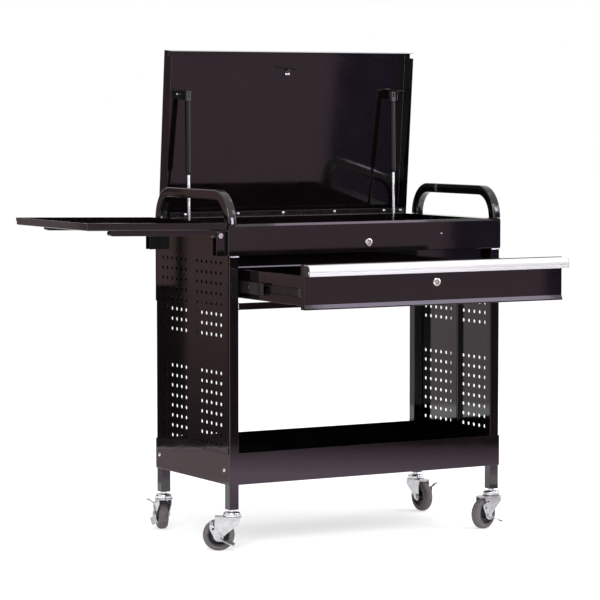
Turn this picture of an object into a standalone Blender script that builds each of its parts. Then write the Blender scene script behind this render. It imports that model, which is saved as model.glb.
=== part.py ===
"""Mobile drawer cabinet: an open cart with a lidded chest, a drawer, a side shelf and swivel casters."""
import math

import bmesh
import bpy
from mathutils import Matrix, Vector

# Sheet, tube and fits
FIT = 0.0003
SHEET = 0.0012
PANEL_SHEET = 0.0010
POST_SIZE = 0.0250
POST_WALL = 0.0015
POST_RADIUS = 0.0020
CART_WIDTH = 0.7620
CART_DEPTH = 0.3810

# Casters
WHEEL_DIAMETER = 0.0750
TYRE_WIDTH = 0.0240
TYRE_CROWN = 0.0065
TYRE_BEND_DEG = 75
HUB_RADIUS = 0.0260
HUB_WIDTH = 0.0270
AXLE_RADIUS = 0.0040
TRAIL = 0.0310
WHEEL_CLEARANCE = 0.0030
FORK_SHEET = 0.0025
CROWN_SHEET = 0.0030
CROWN_RADIUS = 0.0230
SWIVEL_GAP = 0.0005
CUP_RADIUS = 0.0215
CUP_HEIGHT = 0.0115
NECK_HEIGHT = 0.0045
KINGPIN_RADIUS = 0.0060
BRAKE_SHEET = 0.0020
HEADINGS = {"fl": 150.3, "fr": 198.2, "rl": 73.3, "rr": 270.2}

# Heights between one level and the next
LEG_DROP = 0.0580
TRAY_HEIGHT = 0.0745
OPEN_HEIGHT = 0.3380
RAIL_HEIGHT = 0.0150
DRAWER_GAP = 0.0035
DRAWER_FACE_HEIGHT = 0.1025
DRAWER_TOP_GAP = 0.0060
CHEST_HEIGHT = 0.0735

# Chest and panels
RECESS = 0.0255
RECESS_FLANGE = 0.0287
RIM_WIDTH = 0.0445
TOP_RETURN = 0.0080
BOTTOM_RETURN = 0.0240
SIDE_RETURN = 0.0055
PANEL_END_GAP = 0.0065
RIB_HALF = 0.0150
RIB_DEPTH = 0.0100
HOLE_RADIUS = 0.0053
HOLE_SIDES = 4
HOLE_PITCH_Z = 0.0244
HOLE_PITCH_Y = 0.0242
HOLE_FIRST_Y = 0.0285
HOLE_COLUMNS = 6
HOLE_ROWS = 8
HOLE_BLOCK_DROP = 0.0180
HOLE_BLOCK_STEP = 0.2600

# Drawer and slides
DRAWER_REST = 0.3035
DRAWER_SIDE_GAP = 0.0020
DRAWER_FRONT_DEPTH = 0.0160
DRAWER_BACK_LIP = 0.0150
DRAWER_SHEET = 0.0010
DRAWER_BOX_DEPTH = 0.3400
DRAWER_BOX_LIFT = 0.0080
DRAWER_WALL = 0.0675
BEAD_HEIGHT = 0.0120
BEAD_DEPTH = 0.0050
PULL_HEIGHT = 0.0280
PULL_DEPTH = 0.0270
PULL_WALL = 0.0020
PULL_OVERHANG = 0.0025
SLIDE_LENGTH = 0.3300
SLIDE_SET_BACK = 0.0405
SLIDE_LIFT = 0.0360
SLIDE_DEPTH = 0.0127
SLIDE_SHEET = 0.0012
SLIDE_HEIGHT = 0.0350
SLIDE_NEST = 0.0006

# Locks
LOCK_RADIUS = 0.0060
LOCK_STICK_OUT = 0.0030
CHEST_LOCK_LIFT = 0.0230
DRAWER_LOCK_LIFT = 0.0535
CAM_LENGTH = 0.0340
CAM_HALF = 0.0050
CAM_SHEET = 0.0020

# Handles
HANDLE_WIDTH = 0.0220
HANDLE_BAR = 0.0235
HANDLE_WALL = 0.0015
HANDLE_HEIGHT = 0.0790
HANDLE_BEND = 0.0720

# Lid and hinge
LID_SIDE_GAP = 0.0370
LID_LENGTH = 0.4075
LID_HEIGHT = 0.0440
LID_SHEET = 0.0010
LID_NOTCH = 0.0120
LID_OPEN_DEG = 85.15
PIN_DROP = 0.0010
PIN_RADIUS = 0.0016
KNUCKLE_RADIUS = 0.0032
KNUCKLES = 9
LEAF_SHEET = 0.0010
LEAF_WIDTH = 0.0110
LEAF_INSET = 0.0060
STRIKER_DISTANCE = 0.3700
STRIKER_HALF = 0.0070
STRIKER_SHEET = 0.0020
STRIKER_REACH = 0.0550
STRIKER_FOOT = 0.0200

# Gas struts
STRUT_INSET = 0.0490
STRUT_LID_DISTANCE = 0.3036
STRUT_LID_LIFT = 0.0112
STRUT_FOOT_INSET = 0.0160
STRUT_FOOT_LIFT = 0.0280
STRUT_EAR_OFFSET = 0.0080
EAR_SHEET = 0.0020
EAR_HALF = 0.0125
ROD_RADIUS = 0.0040
CYLINDER_RADIUS = 0.0072
CYLINDER_START = 0.1520
CYLINDER_NECK = 0.0150
ROD_OVERLAP = 0.0900
FITTING_RADIUS = 0.0060
FITTING_LENGTH = 0.0250
STUD_RADIUS = 0.0035

# Side shelf
SHELF_GAP = 0.0040
SHELF_LENGTH = 0.3595
SHELF_DEPTH = 0.3960
SHELF_Y = 0.0050
SHELF_RIM = 0.0163
SHELF_DRAFT = 0.0006
SHELF_TILT_DEG = 1.04
SHELF_LIFT = 0.0142
ARM_INSET = 0.0170
ARM_HEIGHT = 0.0130
ARM_WALL = 0.0015
ARM_REACH = 0.2835
ARM_GAP = 0.0010
BRACKET_INNER = 0.0180
BRACKET_SHEET = 0.0020
BRACKET_REACH = 0.0265
BRACKET_HEIGHT = 0.0555
PIVOT_REACH = 0.0170
PIVOT_LIFT = 0.0470
BOLT_RADIUS = 0.0040
BOLT_HEAD = 0.0060
LUG_RADIUS = 0.0090

# Levels and faces that follow from the sizes above
HALF_W = CART_WIDTH / 2
HALF_D = CART_DEPTH / 2
Z_AXLE = WHEEL_DIAMETER / 2
Z_CROWN = WHEEL_DIAMETER + WHEEL_CLEARANCE
Z_CUP = Z_CROWN + CROWN_SHEET + SWIVEL_GAP
Z_NECK = Z_CUP + CUP_HEIGHT
Z_LEG = Z_NECK + NECK_HEIGHT
Z_TRAY = Z_LEG + LEG_DROP
Z_TRAY_TOP = Z_TRAY + TRAY_HEIGHT
Z_BAY = Z_TRAY_TOP + OPEN_HEIGHT
Z_DRAWER = Z_BAY + RAIL_HEIGHT + DRAWER_GAP
Z_FACE_TOP = Z_DRAWER + DRAWER_FACE_HEIGHT
Z_CHEST = Z_FACE_TOP + DRAWER_TOP_GAP
Z_TOP = Z_CHEST + CHEST_HEIGHT
Z_UNDER_RIM = Z_TOP - SHEET - FIT
PANEL_OUT = HALF_W - SHEET - FIT
PANEL_IN = PANEL_OUT - PANEL_SHEET
POST_OUT_X = PANEL_IN - FIT
POST_OUT_Y = HALF_D - SHEET - FIT
POST_IN_X = POST_OUT_X - POST_SIZE
POST_IN_Y = POST_OUT_Y - POST_SIZE
POST_X = POST_OUT_X - POST_SIZE / 2
POST_Y = POST_OUT_Y - POST_SIZE / 2
BAY_OUT = POST_IN_X - FIT
BAY_IN = BAY_OUT - SHEET
RECESS_Y = -HALF_D + RECESS
DRAWER_HALF = POST_IN_X - DRAWER_SIDE_GAP
SLIDE_WALL = BAY_IN - FIT
BOX_HALF = SLIDE_WALL - SLIDE_DEPTH - FIT
Z_SLIDE = Z_DRAWER + SLIDE_LIFT
Z_CHEST_LOCK = Z_CHEST + CHEST_LOCK_LIFT
Z_DRAWER_LOCK = Z_DRAWER + DRAWER_LOCK_LIFT
PIN_Y = HALF_D + FIT + KNUCKLE_RADIUS
PIN_Z = Z_TOP - PIN_DROP
LID_HALF = HALF_W - LID_SIDE_GAP
LEAF_HALF = LID_HALF - LEAF_INSET
LID_EDGE = KNUCKLE_RADIUS + FIT
LID_INSIDE = LID_HEIGHT - LID_SHEET
STRUT_X = LID_HALF - STRUT_INSET
EAR_X = STRUT_X + STRUT_EAR_OFFSET
FOOT_Y = HALF_D - STRUT_FOOT_INSET
FOOT_Z = Z_CHEST + STRUT_FOOT_LIFT
ARM_SPREAD = HALF_D - ARM_INSET
BRACKET_X = PANEL_OUT + FIT
PIVOT_X = BRACKET_X + PIVOT_REACH
PIVOT_Z = Z_CHEST + PIVOT_LIFT
FORK_IN = HUB_WIDTH / 2 + 2 * FIT
FORK_OUT = FORK_IN + FORK_SHEET
BRAKE_IN = FORK_OUT + FIT
BRAKE_OUT = BRAKE_IN + BRAKE_SHEET

PAINTS = {
    "black_enamel": ((0.018, 0.015, 0.017), 0.0, 0.32),
    "zinc_plate": ((0.62, 0.60, 0.56), 0.9, 0.35),
    "bright_steel": ((0.66, 0.66, 0.67), 1.0, 0.28),
    "chrome": ((0.80, 0.80, 0.82), 1.0, 0.12),
    "satin_aluminium": ((0.82, 0.82, 0.83), 0.9, 0.35),
    "satin_black": ((0.012, 0.012, 0.013), 0.0, 0.38),
    "tyre_rubber": ((0.17, 0.15, 0.14), 0.0, 0.70),
    "hub_plastic": ((0.030, 0.029, 0.030), 0.0, 0.50),
}


def clear_scene():
    for obj in list(bpy.data.objects):
        bpy.data.objects.remove(obj, do_unlink=True)


def make_paints():
    paints = {}
    for name, (colour, metallic, roughness) in PAINTS.items():
        paint = bpy.data.materials.new(name)
        paint.use_nodes = True
        shader = paint.node_tree.nodes["Principled BSDF"]
        shader.inputs["Base Color"].default_value = (*colour, 1.0)
        shader.inputs["Metallic"].default_value = metallic
        shader.inputs["Roughness"].default_value = roughness
        paint.diffuse_color = (*colour, 1.0)
        paints[name] = paint
    return paints


def from_bmesh(name, bm):
    bmesh.ops.recalc_face_normals(bm, faces=bm.faces)
    mesh = bpy.data.meshes.new(name)
    bm.to_mesh(mesh)
    bm.free()
    obj = bpy.data.objects.new(name, mesh)
    bpy.context.scene.collection.objects.link(obj)
    return obj


def box(name, x, y, z):
    """A block between the low and high value on each axis."""
    outline = [(min(x), min(y)), (max(x), min(y)), (max(x), max(y)), (min(x), max(y))]
    return prism(name, outline, "Z", z)


def tapered(name, x, y, z, taper):
    """A block whose bottom face is drawn in by a taper on every side."""
    block = box(name, x, y, z)
    for vert in block.data.vertices:
        if vert.co.z < sum(z) / 2:
            vert.co.x += taper if vert.co.x < sum(x) / 2 else -taper
            vert.co.y += taper if vert.co.y < sum(y) / 2 else -taper
    return block


def on_axis(axis, a, b, along):
    if axis == "X":
        return Vector((along, a, b))
    if axis == "Y":
        return Vector((a, along, b))
    return Vector((a, b, along))


def prism(name, outline, axis, span):
    """An outline in the other two axes, extruded along the named one."""
    bm = bmesh.new()
    corners = [bm.verts.new(on_axis(axis, a, b, min(span))) for a, b in outline]
    face = bm.faces.new(corners)
    grown = bmesh.ops.extrude_face_region(bm, geom=[face])
    moved = [item for item in grown["geom"] if isinstance(item, bmesh.types.BMVert)]
    for vert in moved:
        vert.co["XYZ".index(axis)] = max(span)
    return from_bmesh(name, bm)


def turned(name, profile, segments, ring=False):
    """A profile of (radius, height) points spun about Z."""
    bm = bmesh.new()
    points = [bm.verts.new((radius, 0, height)) for radius, height in profile]
    pairs = list(zip(points, points[1:]))
    if ring:
        pairs.append((points[-1], points[0]))
    edges = [bm.edges.new(pair) for pair in pairs]
    bmesh.ops.spin(bm, geom=points + edges, cent=(0, 0, 0), axis=(0, 0, 1),
                   angle=math.tau, steps=segments, use_merge=True)
    bmesh.ops.remove_doubles(bm, verts=bm.verts, dist=1e-7)
    return from_bmesh(name, bm)


def rod(name, radius, axis, span, centre=(0, 0), segments=12):
    """A round bar along an axis, with its centre in the other two."""
    outline = []
    for step in range(segments):
        turn = math.tau * (step + 0.5) / segments
        outline.append((centre[0] + radius * math.cos(turn), centre[1] + radius * math.sin(turn)))
    return prism(name, outline, axis, span)


def shape(obj, matrix):
    obj.data.transform(matrix)
    return obj


def combine(target, other, operation):
    mod = target.modifiers.new(operation, "BOOLEAN")
    mod.operation = operation
    mod.solver = "EXACT"
    mod.object = other
    bpy.context.view_layer.update()
    graph = bpy.context.evaluated_depsgraph_get()
    result = bpy.data.meshes.new_from_object(target.evaluated_get(graph))
    target.modifiers.clear()
    target.data = result
    bpy.data.objects.remove(other, do_unlink=True)


def join(target, *others):
    for other in others:
        combine(target, other, "UNION")
    return target


def cut(target, *cutters):
    for cutter in cutters:
        combine(target, cutter, "DIFFERENCE")
    return target


def finish(obj, paint, parent):
    bm = bmesh.new()
    bm.from_mesh(obj.data)
    bmesh.ops.remove_doubles(bm, verts=bm.verts, dist=1e-7)
    bmesh.ops.dissolve_limit(bm, angle_limit=math.radians(0.05), verts=bm.verts, edges=bm.edges)
    bm.to_mesh(obj.data)
    bm.free()
    obj.data.materials.clear()
    obj.data.materials.append(paint)
    obj.parent = parent
    return obj


def twin(source, name, parent):
    """A second piece of the same shape."""
    copy = bpy.data.objects.new(name, source.data)
    bpy.context.scene.collection.objects.link(copy)
    copy.parent = parent
    return copy


def mirrored(source, name, parent):
    """The same shape for the other side of the cart."""
    copy = twin(source, name, parent)
    copy.data = source.data.copy()
    copy.data.transform(Matrix.Scale(-1, 4, (1, 0, 0)))
    copy.data.flip_normals()
    return copy


def pivot(name, parent, location, rotation=(0, 0, 0)):
    empty = bpy.data.objects.new(name, None)
    bpy.context.scene.collection.objects.link(empty)
    empty.parent = parent
    empty.location = location
    empty.rotation_euler = rotation
    return empty


def rounded(half_a, half_b, radius, steps=2):
    """A rectangle's outline with rounded corners."""
    outline = []
    for corner, (sign_a, sign_b) in enumerate(((1, 1), (-1, 1), (-1, -1), (1, -1))):
        for step in range(steps + 1):
            turn = math.radians(90 * (corner + step / steps))
            a = sign_a * (half_a - radius) + radius * math.cos(turn)
            b = sign_b * (half_b - radius) + radius * math.sin(turn)
            outline.append((a, b))
    return outline


def build_posts(cart, paints):
    half = POST_SIZE / 2
    span = (Z_LEG, Z_UNDER_RIM)
    post = prism("post_fl", rounded(half, half, POST_RADIUS), "Z", span)
    inner = half - POST_WALL
    reach = (Z_LEG - half, Z_TOP + half)
    cut(post, prism("post_bore", rounded(inner, inner, POST_RADIUS / 2, 1), "Z", reach))
    finish(post, paints["black_enamel"], cart)
    post.location = (-POST_X, -POST_Y, 0)
    twin(post, "post_fr", cart).location = (POST_X, -POST_Y, 0)
    twin(post, "post_rl", cart).location = (-POST_X, POST_Y, 0)
    twin(post, "post_rr", cart).location = (POST_X, POST_Y, 0)


def build_tray(cart, paints):
    tray = box("lower_tray", (-HALF_W, HALF_W), (-HALF_D, HALF_D), (Z_TRAY, Z_TRAY_TOP))
    in_x = HALF_W - SHEET
    in_y = HALF_D - SHEET
    hollow = (Z_TRAY + SHEET, Z_TRAY_TOP + TRAY_HEIGHT)
    cut(tray, box("tray_inside", (-in_x, in_x), (-in_y, in_y), hollow))
    below = (Z_TRAY - LEG_DROP / 2, Z_TRAY + 2 * SHEET)
    for side in (-1, 1):
        for end in (-1, 1):
            notch_x = (side * (POST_IN_X - FIT), side * in_x)
            notch_y = (end * (POST_IN_Y - FIT), end * in_y)
            cut(tray, box("tray_notch", notch_x, notch_y, below))
    finish(tray, paints["black_enamel"], cart)


def hole_grid():
    """The panel's holes as (y, z), in an upper and a lower block, front and rear."""
    top = Z_CHEST - HOLE_BLOCK_DROP
    for block in range(2):
        for row in range(HOLE_ROWS):
            z = top - block * HOLE_BLOCK_STEP - row * HOLE_PITCH_Z
            for column in range(HOLE_COLUMNS):
                y = HOLE_FIRST_Y + column * HOLE_PITCH_Y
                yield -y, z
                yield y, z


def panel_holes():
    bm = bmesh.new()
    along_x = Matrix.Rotation(math.radians(90), 4, "Y") @ Matrix.Rotation(math.pi / HOLE_SIDES, 4, "Z")
    for y, z in hole_grid():
        place = Matrix.Translation(((PANEL_OUT + PANEL_IN) / 2, y, z)) @ along_x
        bmesh.ops.create_cone(bm, cap_ends=True, segments=HOLE_SIDES, radius1=HOLE_RADIUS,
                              radius2=HOLE_RADIUS, depth=4 * PANEL_SHEET, matrix=place)
    return from_bmesh("panel_holes", bm)


def panel_rib():
    """A hat channel up the inside of the panel, open at both ends."""
    crest = PANEL_IN - RIB_DEPTH
    inner = RIB_HALF - PANEL_SHEET
    root = PANEL_IN + PANEL_SHEET / 2
    outline = [(root, -RIB_HALF), (crest, -RIB_HALF), (crest, RIB_HALF), (root, RIB_HALF),
               (root, inner), (crest + PANEL_SHEET, inner), (crest + PANEL_SHEET, -inner), (root, -inner)]
    return prism("panel_rib", outline, "Z", (Z_TRAY_TOP - TRAY_HEIGHT / 2, Z_CHEST))


def build_panels(cart, paints):
    half = HALF_D - PANEL_END_GAP
    bottom = Z_TRAY + SHEET + 4 * FIT
    panel = box("side_panel_right", (PANEL_IN, PANEL_OUT), (-half, half), (bottom, Z_UNDER_RIM))
    cut(panel, panel_holes())
    join(panel, panel_rib())
    finish(panel, paints["black_enamel"], cart)
    twin(panel, "side_panel_left", cart).rotation_euler = (0, 0, math.pi)


def chest_side(side):
    """The bay wall, the top ledge and the strut ear of one side."""
    wall = box("bay_wall", (side * BAY_IN, side * BAY_OUT), (RECESS_Y, HALF_D - FIT), (Z_BAY, Z_TOP))
    ledge_y = (-HALF_D + TOP_RETURN + SHEET, HALF_D)
    ledge_x = (side * (PANEL_OUT - RIM_WIDTH), side * PANEL_OUT)
    ledge = box("ledge", ledge_x, ledge_y, (Z_TOP - SHEET, Z_TOP))
    ear_y = (FOOT_Y - EAR_HALF, HALF_D - FIT)
    ear = box("ear", (side * EAR_X, side * (EAR_X + EAR_SHEET)), ear_y, (Z_CHEST, FOOT_Z + EAR_HALF))
    return wall, ledge, ear


def build_chest(cart, paints):
    back = (HALF_D - SHEET, HALF_D)
    chest = box("chest_box", (-PANEL_OUT, PANEL_OUT), back, (Z_BAY, Z_TOP))
    floor = box("floor", (-BAY_OUT, BAY_OUT), (RECESS_Y, HALF_D - FIT), (Z_CHEST, Z_CHEST + SHEET))
    flange_z = (Z_CHEST - RECESS_FLANGE, Z_CHEST + SHEET)
    flange = box("flange", (-BAY_OUT, BAY_OUT), (RECESS_Y, RECESS_Y + SHEET), flange_z)
    join(chest, floor, flange, *chest_side(-1), *chest_side(1))
    finish(chest, paints["black_enamel"], cart)


def build_chest_front(cart, paints):
    face = (-HALF_D, -HALF_D + SHEET)
    front = box("chest_front_panel", (-HALF_W, HALF_W), face, (Z_CHEST, Z_TOP))
    top = box("top", (-HALF_W, HALF_W), (-HALF_D, -HALF_D + TOP_RETURN), (Z_TOP - SHEET, Z_TOP))
    under_y = (-HALF_D, -HALF_D + BOTTOM_RETURN)
    under = box("under", (-BAY_OUT, BAY_OUT), under_y, (Z_CHEST, Z_CHEST + SHEET))
    join(front, top, under)
    for side in (-1, 1):
        edge_x = (side * (HALF_W - SHEET), side * HALF_W)
        join(front, box("edge", edge_x, (-HALF_D, -HALF_D + SIDE_RETURN), (Z_CHEST, Z_TOP)))
    hole_y = (-HALF_D - SHEET, -HALF_D + 2 * SHEET)
    cut(front, rod("lock_hole", LOCK_RADIUS + FIT, "Y", hole_y, (0, Z_CHEST_LOCK)))
    finish(front, paints["black_enamel"], cart)


def build_front_rail(cart, paints):
    y0 = -POST_OUT_Y
    y1 = y0 + RAIL_HEIGHT
    z0 = Z_BAY
    z1 = Z_BAY + RAIL_HEIGHT
    outline = [(y1, z0), (y0, z0), (y0, z1), (y1, z1), (y1, z1 - SHEET),
               (y0 + SHEET, z1 - SHEET), (y0 + SHEET, z0 + SHEET), (y1, z0 + SHEET)]
    finish(prism("front_rail", outline, "X", (-BAY_OUT, BAY_OUT)), paints["black_enamel"], cart)


def arch(inset, drop):
    """A handle's side outline, inset by the wall and with feet run down by drop."""
    foot = Z_TOP + FIT - drop
    outer = []
    inner = []
    for side in (-1, 1):
        for step in range(9):
            turn = math.radians(11.25 * step) if side < 0 else math.radians(90 - 11.25 * step)
            centre_y = side * (HALF_D - HANDLE_BEND)
            centre_z = Z_TOP + HANDLE_HEIGHT - HANDLE_BEND
            big = HANDLE_BEND - inset
            small = HANDLE_BEND - HANDLE_BAR + inset
            outer.append((centre_y + side * big * math.cos(turn), centre_z + big * math.sin(turn)))
            inner.append((centre_y + side * small * math.cos(turn), centre_z + small * math.sin(turn)))
    feet = [(-HALF_D + inset, foot)] + outer + [(HALF_D - inset, foot)]
    return feet + [(HALF_D - HANDLE_BAR + inset, foot)] + inner[::-1] + [(-HALF_D + HANDLE_BAR - inset, foot)]


def build_handles(cart, paints):
    outer_x = (HALF_W - HANDLE_WIDTH, HALF_W)
    inner_x = (HALF_W - HANDLE_WIDTH + HANDLE_WALL, HALF_W - HANDLE_WALL)
    for name, side in (("handle_left", -1), ("handle_right", 1)):
        handle = prism(name, arch(0, 0), "X", [side * x for x in outer_x])
        cut(handle, prism("bore", arch(HANDLE_WALL, HANDLE_BAR), "X", [side * x for x in inner_x]))
        finish(handle, paints["black_enamel"], cart)


def channel(name, side, near, far, half, open_far):
    """A slide member: a C along Y, its web on the near or the far side of the slide's depth."""
    web = near if open_far else far
    tip = far if open_far else near
    fold = SLIDE_SHEET if open_far else -SLIDE_SHEET
    thick = half - SLIDE_SHEET
    depths = [(tip, -half), (web, -half), (web, half), (tip, half),
              (tip, thick), (web + fold, thick), (web + fold, -thick), (tip, -thick)]
    outline = [(side * (SLIDE_WALL - depth), Z_SLIDE + z) for depth, z in depths]
    start = -HALF_D + SLIDE_SET_BACK
    return prism(name, outline, "Y", (start, start + SLIDE_LENGTH))


def build_slides(cart, middle, drawer, paints):
    step = SLIDE_SHEET + SLIDE_NEST
    half = SLIDE_HEIGHT / 2
    black = paints["satin_black"]
    for name, side in (("left", -1), ("right", 1)):
        outer = channel("slide_outer_" + name, side, 0, SLIDE_DEPTH - 2 * step, half, True)
        finish(outer, black, cart)
        mid = channel("slide_middle_" + name, side, step, SLIDE_DEPTH - step, half - 2 * step, True)
        finish(mid, black, middle)
        inner = channel("slide_inner_" + name, side, 2 * step, SLIDE_DEPTH, half - 4 * step, False)
        finish(inner, black, drawer)


def build_drawer(drawer, paints):
    face_y = -HALF_D
    box_front = face_y + DRAWER_FRONT_DEPTH + FIT
    span_y = (box_front, box_front + DRAWER_BOX_DEPTH)
    bottom = Z_DRAWER + DRAWER_BOX_LIFT
    tub = box("drawer_box", (-BOX_HALF, BOX_HALF), span_y, (bottom, bottom + DRAWER_WALL))
    in_x = BOX_HALF - DRAWER_SHEET
    in_y = (span_y[0] + DRAWER_SHEET, span_y[1] - DRAWER_SHEET)
    cut(tub, box("inside", (-in_x, in_x), in_y, (bottom + DRAWER_SHEET, bottom + 2 * DRAWER_WALL)))
    finish(tub, paints["black_enamel"], drawer)

    front_y = (face_y, face_y + DRAWER_FRONT_DEPTH)
    front = box("drawer_front", (-DRAWER_HALF, DRAWER_HALF), front_y, (Z_DRAWER, Z_FACE_TOP))
    in_x = DRAWER_HALF - DRAWER_SHEET
    in_y = (face_y + DRAWER_SHEET, face_y + DRAWER_FRONT_DEPTH - DRAWER_SHEET)
    cut(front, box("inside", (-in_x, in_x), in_y, (Z_DRAWER + DRAWER_SHEET, Z_FACE_TOP - DRAWER_SHEET)))
    window_x = BOX_HALF - DRAWER_BACK_LIP
    window_z = (bottom + DRAWER_BACK_LIP, bottom + DRAWER_WALL - DRAWER_BACK_LIP)
    window_y = (face_y + DRAWER_FRONT_DEPTH / 2, face_y + 2 * DRAWER_FRONT_DEPTH)
    cut(front, box("window", (-window_x, window_x), window_y, window_z))
    bead_back = face_y + DRAWER_SHEET / 2
    bead_front = face_y - BEAD_DEPTH
    bead = [(bead_back, Z_DRAWER), (bead_front, Z_DRAWER), (bead_front, Z_DRAWER + BEAD_HEIGHT / 2),
            (bead_back, Z_DRAWER + BEAD_HEIGHT)]
    join(front, prism("bead", bead, "X", (-DRAWER_HALF, DRAWER_HALF)))
    hole_y = (face_y - DRAWER_SHEET, face_y + 2 * DRAWER_SHEET)
    cut(front, rod("lock_hole", LOCK_RADIUS + FIT, "Y", hole_y, (0, Z_DRAWER_LOCK)))
    finish(front, paints["black_enamel"], drawer)


def pull_outline():
    """The pull's section: a back leg, a flat top and a round-cornered apron."""
    back = -HALF_D - FIT
    front = -HALF_D - PULL_DEPTH
    low = Z_FACE_TOP - PULL_HEIGHT
    round_out = PULL_DEPTH / 3
    outline = [(back, low + PULL_HEIGHT / 2), (back, Z_FACE_TOP)]
    inner = []
    for step in range(5):
        turn = math.radians(90 + 22.5 * step)
        at = (front + round_out, Z_FACE_TOP - round_out)
        outline.append((at[0] + round_out * math.cos(turn), at[1] + round_out * math.sin(turn)))
        small = round_out - PULL_WALL
        inner.append((at[0] + small * math.cos(turn), at[1] + small * math.sin(turn)))
    outline += [(front, low), (front + PULL_WALL, low)]
    leg = back - PULL_WALL
    return outline + inner[::-1] + [(leg, Z_FACE_TOP - PULL_WALL), (leg, low + PULL_HEIGHT / 2)]


def build_pull(drawer, paints):
    half = DRAWER_HALF + PULL_OVERHANG
    finish(prism("drawer_pull", pull_outline(), "X", (-half, half)), paints["satin_aluminium"], drawer)


def build_lock(name, z, depth, parent, paints):
    """A plug turning in the sheet, with a cam behind it that lies to the right."""
    holder = pivot(name + "_axis", parent, (0, -HALF_D, z))
    lock = rod(name, LOCK_RADIUS, "Y", (-LOCK_STICK_OUT, depth))
    cam_y = (depth - CAM_SHEET, depth)
    join(lock, box("cam", (-CAM_HALF, CAM_LENGTH), cam_y, (-CAM_HALF, CAM_HALF)))
    finish(lock, paints["chrome"], holder)


def stepped_shaft(name, wide, parity):
    """The hinge pin with the knuckles of one leaf on it, along X."""
    step = 2 * LEAF_HALF / KNUCKLES
    profile = [(0, -LEAF_HALF)]
    for index in range(KNUCKLES):
        low = -LEAF_HALF + index * step
        radius = wide if index % 2 == parity else PIN_RADIUS
        profile += [(radius, low), (radius, low + step)]
    profile.append((0, LEAF_HALF))
    along_x = Matrix.Rotation(math.radians(90), 4, "Y")
    return shape(turned(name, profile, 8), along_x)


def knuckle_spans(parity):
    step = 2 * LEAF_HALF / KNUCKLES
    for index in range(parity, KNUCKLES, 2):
        low = -LEAF_HALF + index * step
        yield low + FIT, low + step - FIT


def build_hinge(cart, lid, paints):
    black = paints["satin_black"]
    leaf_y = (-KNUCKLE_RADIUS, -KNUCKLE_RADIUS + LEAF_SHEET)
    clear = KNUCKLE_RADIUS + FIT
    chest_leaf = box("hinge_chest_leaf", (-LEAF_HALF, LEAF_HALF), leaf_y, (-clear - LEAF_WIDTH, -clear))
    for span in knuckle_spans(0):
        join(chest_leaf, box("web", span, leaf_y, (-clear - LEAF_SHEET, 0)))
    pin = stepped_shaft("pin", PIN_RADIUS, 0)
    for span in knuckle_spans(0):
        join(pin, rod("knuckle", KNUCKLE_RADIUS, "X", span, segments=8))
    join(chest_leaf, pin)
    finish(chest_leaf, black, pivot("hinge_axis", cart, (0, PIN_Y, PIN_Z)))

    leaf_z = (KNUCKLE_RADIUS - LEAF_SHEET, KNUCKLE_RADIUS)
    lid_leaf = box("hinge_lid_leaf", (-LEAF_HALF, LEAF_HALF), (-clear - LEAF_WIDTH, -clear), leaf_z)
    for span in knuckle_spans(1):
        join(lid_leaf, box("web", span, (-clear - LEAF_SHEET, 0), leaf_z))
        knuckle = rod("knuckle", KNUCKLE_RADIUS, "X", span, segments=8)
        reach = (span[0] - LEAF_SHEET, span[1] + LEAF_SHEET)
        join(lid_leaf, knuckle)
        cut(lid_leaf, rod("bore", PIN_RADIUS + FIT, "X", reach, segments=8))
    finish(lid_leaf, black, lid)


def build_lid(lid, paints):
    """The pan in its closed pose, with the hinge pin at the origin."""
    pan = box("lid", (-LID_HALF, LID_HALF), (-LID_LENGTH, 0), (LID_EDGE, LID_HEIGHT))
    in_x = LID_HALF - LID_SHEET
    front = -LID_LENGTH + LID_SHEET
    lip = -LEAF_WIDTH - LID_EDGE
    lip_top = LID_EDGE + LID_SHEET
    below = LID_EDGE - LID_HEIGHT
    hollow = [(front, below), (lip, below), (lip, lip_top), (-LID_SHEET, lip_top), (-LID_SHEET, LID_INSIDE),
              (front, LID_INSIDE)]
    cut(pan, prism("hollow", hollow, "X", (-in_x, in_x)))
    for side in (-1, 1):
        notch_x = (side * (LID_HALF - LID_NOTCH), side * (LID_HALF + LID_NOTCH))
        notch_y = (-LID_LENGTH - LID_NOTCH, -LID_LENGTH + LID_NOTCH)
        cut(pan, box("notch", notch_x, notch_y, (below, LID_INSIDE)))
    finish(pan, paints["black_enamel"], lid)


def build_striker(lid, paints):
    far = -STRIKER_DISTANCE
    top = LID_INSIDE - FIT
    outline = [(far, top), (far + STRIKER_FOOT, top), (far + STRIKER_FOOT, top - STRIKER_SHEET),
               (far + STRIKER_SHEET, top - STRIKER_SHEET), (far + STRIKER_SHEET, top - STRIKER_REACH),
               (far, top - STRIKER_REACH)]
    striker = prism("lid_striker", outline, "X", (-STRIKER_HALF, STRIKER_HALF))
    finish(striker, paints["black_enamel"], lid)


def build_strut_brackets(lid, paints):
    """A corner bracket: flange on the lid, ear for the strut, web between them."""
    top = LID_INSIDE - FIT
    y0 = -STRUT_LID_DISTANCE - EAR_HALF
    y1 = -STRUT_LID_DISTANCE + EAR_HALF
    across = (-EAR_X, -LID_HALF + LID_SHEET + 2 * EAR_SHEET)
    plate = box("strut_bracket_left", across, (y0, y1), (top - EAR_SHEET, top))
    ear_x = (-EAR_X, -EAR_X - EAR_SHEET)
    ear = box("ear", ear_x, (y0, y1), (STRUT_LID_LIFT - EAR_HALF * 0.75, top))
    web = box("web", across, (y0, y0 + EAR_SHEET), (STRUT_LID_LIFT + EAR_HALF / 2, top))
    finish(join(plate, ear, web), paints["black_enamel"], lid)
    mirrored(plate, "strut_bracket_right", lid)


def lid_point(y, z):
    """A point of the closed lid, moved to where the open lid holds it."""
    turn = math.radians(LID_OPEN_DEG)
    out_y = PIN_Y + y * math.cos(turn) + z * math.sin(turn)
    out_z = PIN_Z - y * math.sin(turn) + z * math.cos(turn)
    return out_y, out_z


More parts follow.
